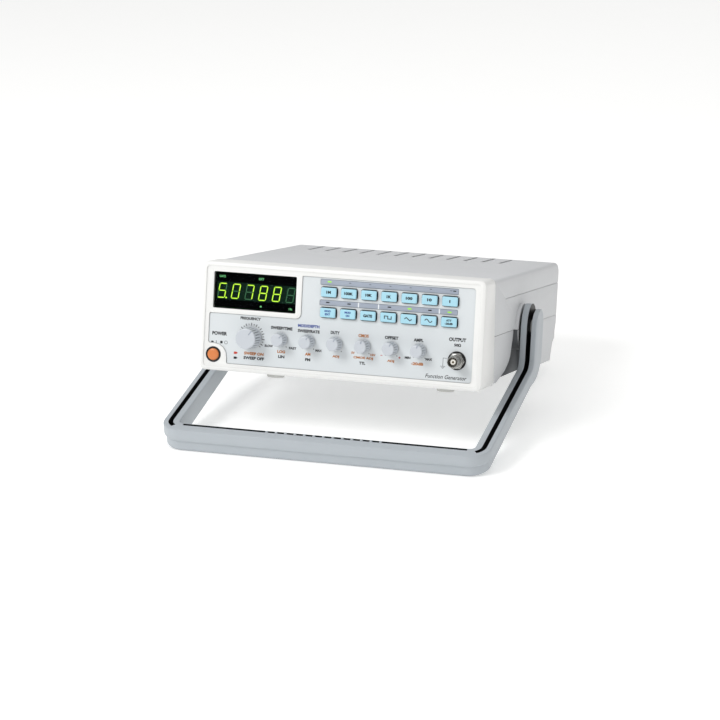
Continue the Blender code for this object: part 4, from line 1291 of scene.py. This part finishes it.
@dataclass
class Sockets:
    """The front output socket and the two rear ones."""

    output: tuple[float, float, float] = (102.8, 0.0, 25.0)
    rear_y: float = 276.1
    rear_places: tuple[tuple[str, float, float], ...] = (
        ("sync_bnc", 40.0, 57.0), ("control_input_bnc", 75.0, 57.0),
    )
    panel_face: float = 1.9

    def build(self, shop: Workshop) -> None:
        """Build the coaxial sockets.

        Args:
            shop: The workshop that models the pieces.
        """
        first = self.coaxial(shop)
        spot = Matrix.Translation(Vector(self.output) * MM)
        front = shop.moved(first, "output_socket", spot)
        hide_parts("output_bnc")
        shop.settle(front, "case")
        for node, x, z in self.rear_places:
            place = Vector((x, self.rear_y + self.panel_face, z)) * MM
            turned = Matrix.Translation(place) @ Matrix.Rotation(math.pi, 4, "Z")
            piece = shop.moved(first, node.replace("_bnc", "_socket"), turned)
            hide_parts(node)
            shop.settle(piece, "case")
        bpy.data.objects.remove(first, do_unlink=True)
        LOG.info("built the coaxial sockets")

    def coaxial(self, shop: Workshop) -> bpy.types.Object:
        """Model one bayonet socket with its washer, flange, barrel, lugs, insulator and contact.

        Returns:
            The socket on its own axis, facing the front.
        """
        count = 72
        face = self.panel_face
        shell = [(12.4, Outlines.circle(4.7, count)), (face - 0.4, Outlines.circle(4.7, count)),
                 (face - 0.4, Outlines.hexagon(7.3, count)), (-1.3, Outlines.hexagon(7.4, count)),
                 (-1.7, Outlines.hexagon(6.9, count)), (-1.7, Outlines.circle(6.1, count)),
                 (-3.2, Outlines.circle(6.0, count)), (-3.4, Outlines.circle(5.6, count)),
                 (-3.4, Outlines.circle(4.85, count)), (-12.6, Outlines.circle(4.85, count)),
                 (-13.0, Outlines.circle(4.6, count)), (-13.0, Outlines.circle(4.25, count)),
                 (-12.7, Outlines.circle(4.05, count)), (-3.6, Outlines.circle(4.05, count))]
        body = shop.loft("socket", [section_y(y, outline) for y, outline in shell])
        for side in (-1, 1):
            lug = shop.loft("lug", [section_z(z, Outlines.circle(r, 24, 0.0, -10.4))
                                    for z, r in ((side * 4.3, 1.0), (side * 5.6, 1.0), (side * 5.85, 0.75))])
            shop.carve(body, lug, "UNION")
        shop.smooth(body, 30.0)
        shop.dress(body, NICKEL, "nickel")
        insulator = shop.loft("insulator", [section_y(y, Outlines.circle(r, 48)) for y, r in (
            (-3.4, 3.9), (-4.2, 3.9), (-4.2, 2.35), (-11.2, 2.35), (-11.4, 2.15), (-11.4, 1.0), (-6.0, 1.0))])
        shop.smooth(insulator, 30.0)
        insulator.data.materials.append(PTFE.material())
        contact = shop.loft("contact", [section_y(y, Outlines.circle(r, 24)) for y, r in (
            (-6.1, 0.85), (-10.8, 0.85), (-11.0, 0.7), (-11.0, 0.45), (-7.0, 0.45))])
        shop.smooth(contact, 30.0)
        contact.data.materials.append(GOLD.material())
        profile = ((face - 0.42, 5.0), (face - 0.42, 7.8), (face - 0.3, 8.0), (face - 0.06, 8.0),
                   (face - 0.06, 5.0))
        rings = [section_y(y, Outlines.circle(r, count)) for y, r in profile]
        washer = shop.loft("washer", rings, hollow=True)
        shop.smooth(washer, 30.0)
        washer.data.materials.append(BLACK_NYLON_AND_SHADE.material())
        return shop.join("socket", [body, insulator, contact, washer])


@dataclass
class RearPanel:
    """The rear plate with the mains inlet and the fuse holder."""

    def build(self, shop: Workshop) -> None:
        """Refine the rear pieces from the frame.

        Args:
            shop: The workshop that models the pieces.
        """
        for node, name, finish, slot, bevel in (
            ("rear_panel", "rear_plate", REAR_PAINT, "rear_steel", 0.2),
            ("mains_inlet", "mains_socket", BLACK_NYLON_AND_SHADE, "black_plastic", 0.25),
            ("fuse_holder", "fuse_cap", BLACK_NYLON_AND_SHADE, "black_plastic", 0.25),
        ):
            shop.refit(node, name, finish, slot, bevel=bevel)


# ---- Handle ----


@dataclass(frozen=True)
class Station:
    """One section of the handle: its inner front corner, two directions and its depth."""

    corner: Vector
    across: Vector
    facing: Vector
    depth: float


@dataclass
class CarryHandle:
    """The U-shaped handle that swings on two hubs and props the instrument up."""

    pivot_y: float = 133.0
    pivot_z: float = 45.0
    inner_x: float = 130.4
    thickness: float = 14.1
    inner_wall: float = 5.6
    channel: float = 4.2
    hub_half: float = 18.0
    hub_rise: float = 21.0
    outer_rise: float = 16.8
    slope: float = math.radians(20.4)
    elbow_z: float = 11.6
    elbow_radius: float = 12.0
    reach: float = 157.9
    corner_radius: float = 5.0
    lower_depth: float = 16.0
    bar_depth: float = 20.0
    step: float = 1.8
    ribs: int = 13
    rib_pitch: float = 8.35

    def build(self, shop: Workshop) -> None:
        """Build the handle, its grip ribs, hubs and screws.

        Args:
            shop: The workshop that models the pieces.
        """
        right = self.stations()
        whole = right + self.mirrored(right)
        handle = shop.loft("handle", [self.section(s) for s in whole])
        shop.dress(handle, HANDLE_ABS, "handle_plastic")
        self.paint_notch_shade(handle, whole)
        for side in (right, self.mirrored(right)):
            self.cut_channel(shop, handle, side)
        self.cut_outer_tops(shop, handle)
        self.cut_bores(shop, handle)
        self.cut_grip_slot(shop, handle)
        shop.smooth(handle, 30.0)
        handle.name = "handle_bail"
        handle.data.name = "handle_bail"
        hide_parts("carry_handle")
        shop.settle(handle, "handle")
        LOG.info("built the handle")
        self.build_ribs(shop)
        for word in ("left", "right"):
            shop.refit(f"handle_hub_{word}", f"hub_disc_{word}", BLACK_NYLON_AND_SHADE, "black_plastic", bevel=0.25)
            shop.refit(f"handle_screw_{word}", f"hub_screw_{word}", ZINC, "zinc_steel")

    def directions(self) -> tuple[Vector, Vector, Vector]:
        """The directions down the arm, square to it, and out to the right."""
        down = Vector((0.0, -math.cos(self.slope), -math.sin(self.slope)))
        up = Vector((0.0, -math.sin(self.slope), math.cos(self.slope)))
        return down, up, Vector((1.0, 0.0, 0.0))

    def stations(self) -> list[Station]:
        """The stations of the right half, from the top of its arm to the crossbar.

        Returns:
            The stations in order.
        """
        down, up, out = self.directions()
        forward = Vector((0.0, -1.0, 0.0))
        front_y = self.pivot_y - self.hub_half
        made = []
        count = 14
        for k in range(count + 1):
            turn = math.radians(90.0 * k / count * 0.985 + 1.35)
            rise = self.hub_rise * math.cos(turn)
            reach = max(self.hub_half * math.sqrt(max(1.0 - (rise / self.hub_rise) ** 2, 0.0)) ** 0.9, 2.5)
            corner = Vector((self.inner_x, self.pivot_y - reach, self.pivot_z + rise))
            made.append(Station(corner, out, forward, 2.0 * reach))
        made.append(Station(Vector((self.inner_x, front_y, 30.0)), out, forward, 2.0 * self.hub_half))
        bend = math.pi / 2.0 - self.slope
        tangent = self.elbow_radius * math.tan(bend / 2.0)
        centre = Vector((self.inner_x, front_y - self.elbow_radius, self.elbow_z + tangent))
        count = 16
        for k in range(count + 1):
            angle = bend * k / count
            facing = Vector((0.0, -math.cos(angle), math.sin(angle)))
            share = (1.0 - math.cos(math.pi * k / count)) / 2.0
            depth = 2.0 * self.hub_half + (self.lower_depth - 2.0 * self.hub_half) * share ** 0.8
            made.append(Station(centre - facing * self.elbow_radius, out, facing, depth))
        elbow = Vector((self.inner_x, front_y, self.elbow_z))
        foot = elbow + down * (self.reach - self.corner_radius)
        made.append(Station(foot, out, up, self.bar_depth - 1.0))
        pivot = foot - out * self.corner_radius
        count = 10
        for k in range(1, count + 1):
            angle = math.pi / 2.0 * k / count
            across = out * math.cos(angle) + down * math.sin(angle)
            depth = self.bar_depth - 1.0 + k / count
            made.append(Station(pivot + across * self.corner_radius, across, up, depth))
        return made

    def mirrored(self, stations: Sequence[Station]) -> list[Station]:
        """The same stations on the left, in the opposite order."""
        flip = Vector((-1.0, 1.0, 1.0))
        return [Station(s.corner * flip, s.across * flip, s.facing, s.depth) for s in reversed(stations)]

    def section(self, station: Station) -> Ring:
        """The handle's section at a station, with rounded edges and the step of its outer face."""
        t, depth = self.thickness, station.depth
        r = min(1.1, depth * 0.2)
        half = depth * 0.5
        line = 1.1 if depth > 6.0 else 0.0
        profile: list[tuple[float, float]] = []
        for centre, start in (((r, -r), 180.0), ((t - r, -r), 90.0)):
            for k in range(4):
                angle = math.radians(start - 30.0 * k)
                profile.append((centre[0] + r * math.cos(angle), centre[1] + r * math.sin(angle)))
        profile += [(t, -half + 0.5), (t - 0.25, -half), (t - self.step - line, -half),
                    (t - self.step - line, -half - line * 0.8), (t - self.step, -half - line * 1.2)]
        for centre, start in (((t - self.step - r, -depth + r), 0.0), ((r, -depth + r), -90.0)):
            for k in range(4):
                angle = math.radians(start - 30.0 * k)
                profile.append((centre[0] + r * math.cos(angle), centre[1] + r * math.sin(angle)))
        return [(station.corner + station.across * a + station.facing * b) * MM for a, b in profile]

    def paint_notch_shade(self, handle: bpy.types.Object, stations: Sequence[Station]) -> None:
        """Paint the floor of the notch under the step black as the shade in this deep gap between two
        mouldings.
        """
        notch = {tuple(point) for s in stations for point in self.section(s)[9:12]}
        # Painted shade: the notch floor takes the black material.
        handle.data.materials.append(BLACK_NYLON_AND_SHADE.material())
        for face in handle.data.polygons:
            if all(tuple(handle.data.vertices[i].co) in notch for i in face.vertices):
                face.material_index = 1

    def cut_channel(self, shop: Workshop, handle: bpy.types.Object, stations: Sequence[Station]) -> None:
        """Cut the deep open channel of one arm, which runs out round the corner; its walls are painted black
        as shade.
        """
        low, high = self.inner_wall, self.inner_wall + self.channel
        rings = []
        top = max(s.corner.z for s in stations)
        for s in stations:
            if s.across.y < -0.8:
                continue
            share = min(max((28.0 - s.corner.z) / 22.0, 0.0), 1.0)
            depth = 26.0 + (9.5 - 26.0) * share
            if s.across.y < -0.01:
                depth = 9.5 * (1.0 + s.across.y * 1.15)
            depth = max(depth, 0.4)
            corners = ((low, 12.0), (high, 12.0), (high, -depth), (low, -depth))
            rings.append([(s.corner + s.across * a + s.facing * b) * MM for a, b in corners])
            if s.corner.z == top:
                above = s.corner + Vector((0.0, 0.0, 4.0))
                end = [(above + s.across * a + s.facing * b) * MM for a, b in corners]
                rings.insert(0 if len(rings) == 1 else len(rings), end)
        channel = shop.loft("channel", rings)
        # Painted shade: the channel's cut walls take the black material.
        channel.data.materials.append(BLACK_NYLON_AND_SHADE.material())
        shop.carve(handle, channel)

    def cut_outer_tops(self, shop: Workshop, handle: bpy.types.Object) -> None:
        """Round off the outer wall of each arm lower than its inner wall."""
        y, z, low = self.pivot_y, self.pivot_z, self.inner_wall + self.channel
        arch = [(y - 21.0, 75.0), (y - 21.0, z + 1.0)]
        for k in range(25):
            angle = math.radians(4.0 + 172.0 * k / 24.0)
            arch.append((y - 18.9 * math.cos(angle), z + self.outer_rise * math.sin(angle)))
        arch += [(y + 21.0, z + 1.0), (y + 21.0, 75.0)]
        for side in (-1, 1):
            ends = (side * (self.inner_x + low - 0.5), side * (self.inner_x + self.thickness + 3.0))
            shop.carve(handle, shop.loft("outer_top", [section_x(x, arch) for x in ends]))

    def cut_bores(self, shop: Workshop, handle: bpy.types.Object) -> None:
        """Cut the pivot hole through the inner wall of each arm."""
        for side in (-1, 1):
            ends = (side * (self.inner_x - 5.0), side * (self.inner_x + self.inner_wall + 1.0))
            bore = shop.loft("bore", [section_x(x, Outlines.circle(5.3, 48, self.pivot_y, self.pivot_z))
                                      for x in ends])
            shop.carve(handle, bore)

    def bar_point(self, x: float, a: float, b: float) -> Vector:
        """A point of the crossbar: across its thickness a, and b from its upper edge, in metres."""
        down, up, _ = self.directions()
        elbow = Vector((0.0, self.pivot_y - self.hub_half, self.elbow_z))
        base = elbow + down * self.reach
        return (Vector((x, base.y, base.z)) + down * a + up * b) * MM

    def cut_grip_slot(self, shop: Workshop, handle: bpy.types.Object) -> None:
        """Cut the deep slot along the inner upper edge of the crossbar; its walls are painted black as shade.
        """
        corners = ((1.2, 1.0), (4.0, 1.0), (4.0, -6.0), (1.2, -6.0))
        rings = [[self.bar_point(x, a, b) for a, b in corners] for x in (-125.0, 125.0)]
        cutter = shop.loft("grip_slot", rings)
        # Painted shade: the slot's cut walls take the black material.
        cutter.data.materials.append(BLACK_NYLON_AND_SHADE.material())
        shop.carve(handle, cutter)

    def build_ribs(self, shop: Workshop) -> None:
        """Set the row of small grip ribs across the slot."""
        corners = ((0.9, -0.05), (0.9, 0.2), (1.2, 0.4), (4.0, 0.4), (4.3, 0.2), (4.3, -0.05), (3.98, -0.1),
                   (3.98, -5.9), (1.22, -5.9), (1.22, -0.1))
        rings = [[self.bar_point(x, a, b) for a, b in corners] for x in (-1.0, 1.0)]
        first = shop.loft("rib", rings)
        pieces = []
        for i in range(self.ribs):
            x = (i - (self.ribs - 1) / 2.0) * self.rib_pitch
            pieces.append(shop.moved(first, "rib", Matrix.Translation(Vector((x, 0.0, 0.0)) * MM)))
        bpy.data.objects.remove(first, do_unlink=True)
        ribs = shop.join("grip_ribs", pieces)
        shop.dress(ribs, HANDLE_ABS, "handle_plastic")
        shop.settle(ribs, "handle")
        LOG.info("built %d grip ribs", self.ribs)


# ---- Inner pieces that keep their CAD shape ----


@dataclass
class Insides:
    """Boards, transformer and screws, whose CAD shape is right as it is."""

    finishes: Mapping[str, Finish] = field(default_factory=lambda: {
        "control_board": BOARD, "main_board": BOARD, "transformer": IRON,
        "case_screw_1": ZINC, "case_screw_2": ZINC, "case_screw_3": ZINC, "case_screw_4": ZINC,
    })

    def dress(self) -> None:
        """Give each CAD node its procedural material."""
        for node, finish in self.finishes.items():
            shown = frame["nodes"][node]
            for slot in shown.material_slots:
                slot.material = finish.material()
        LOG.info("dressed %d inner pieces", len(self.finishes))


# ---- Studio ----


@dataclass(frozen=True)
class Softbox:
    """One square soft light."""

    name: str
    place: tuple[float, float, float]
    target: tuple[float, float, float]
    size: float
    watts: float


@dataclass
class Studio:
    """The pale floor, the soft lights and the camera."""

    boxes: tuple[Softbox, ...] = (
        Softbox("key_light", (-1.1, -1.7, 1.9), (0.0, -0.05, 0.05), 1.0, 31.0),
        Softbox("fill_light", (1.9, -1.5, 0.9), (0.0, 0.0, 0.05), 1.6, 0.4),
        Softbox("top_light", (0.0, 0.3, 2.2), (0.0, 0.0, 0.05), 1.8, 9.0),
        Softbox("back_light", (0.6, 2.2, 1.3), (0.0, 0.0, 0.05), 1.6, 1.2),
    )
    world: str = "#FFFFFF"
    world_strength: float = 0.5
    camera_place: tuple[float, float, float] = (0.7259, -2.5074, 0.3064)
    camera_right: tuple[float, float, float] = (0.95968, 0.2765, 0.05067)
    camera_up: tuple[float, float, float] = (-0.07878, 0.0915, 0.99268)
    camera_back: tuple[float, float, float] = (0.26984, -0.95665, 0.10959)
    lens: float = 154.29

    def build(self, shop: Workshop) -> None:
        """Lay the floor, hang the lights and set the camera.

        Args:
            shop: The workshop, for its stance.
        """
        bpy.ops.object.select_all(action="DESELECT")
        bpy.ops.mesh.primitive_plane_add(size=12.0, location=(0.0, 0.0, -0.0004))
        floor = bpy.context.active_object
        floor.name = "studio_floor"
        bpy.ops.object.transform_apply(location=True)
        floor.data.materials.append(FLOOR.material())
        for box in self.boxes:
            self.hang(box)
        world = bpy.data.worlds.new("studio_world")
        world.use_nodes = True
        back = world.node_tree.nodes["Background"]
        back.inputs["Color"].default_value = linear(self.world)
        back.inputs["Strength"].default_value = self.world_strength
        bpy.context.scene.world = world
        bpy.context.scene.view_settings.view_transform = "Standard"
        self.set_camera(shop.stance)

    def hang(self, box: Softbox) -> None:
        """Add one area light that faces its target."""
        light = bpy.data.lights.new(box.name, "AREA")
        light.shape = "SQUARE"
        light.size = box.size
        light.energy = box.watts
        lamp = bpy.data.objects.new(box.name, light)
        bpy.context.scene.collection.objects.link(lamp)
        lamp.location = box.place
        way = Vector(box.target) - Vector(box.place)
        lamp.rotation_mode = "QUATERNION"
        lamp.rotation_quaternion = way.to_track_quat("-Z", "Y")

    def set_camera(self, stance: Stance) -> None:
        """Place the camera, whose place and directions are given in the level frame."""
        data = bpy.data.cameras.new("camera")
        data.lens = self.lens
        data.sensor_width = 36.0
        data.clip_start = 0.05
        data.clip_end = 30.0
        camera = bpy.data.objects.new("camera", data)
        bpy.context.scene.collection.objects.link(camera)
        rows = zip(self.camera_right, self.camera_up, self.camera_back, self.camera_place)
        level = Matrix([list(row) for row in rows] + [[0.0, 0.0, 0.0, 1.0]])
        camera.matrix_world = stance.matrix() @ level
        bpy.context.scene.camera = camera


# ---- Assembly ----


def main() -> None:
    """Build the whole instrument in order."""
    logging.basicConfig(level=logging.INFO, format="%(name)s: %(message)s")
    shop = Workshop(Stance.from_record(frame["record"]))
    Case().build(shop)
    FrontPanel().build(shop)
    Display().build(shop)
    Keypad().build(shop)
    Knobs().build(shop)
    Sockets().build(shop)
    RearPanel().build(shop)
    CarryHandle().build(shop)
    Insides().dress()
    Studio().build(shop)
    bpy.context.view_layer.update()
    LOG.info("finished")


if __name__ == "__main__":
    main()
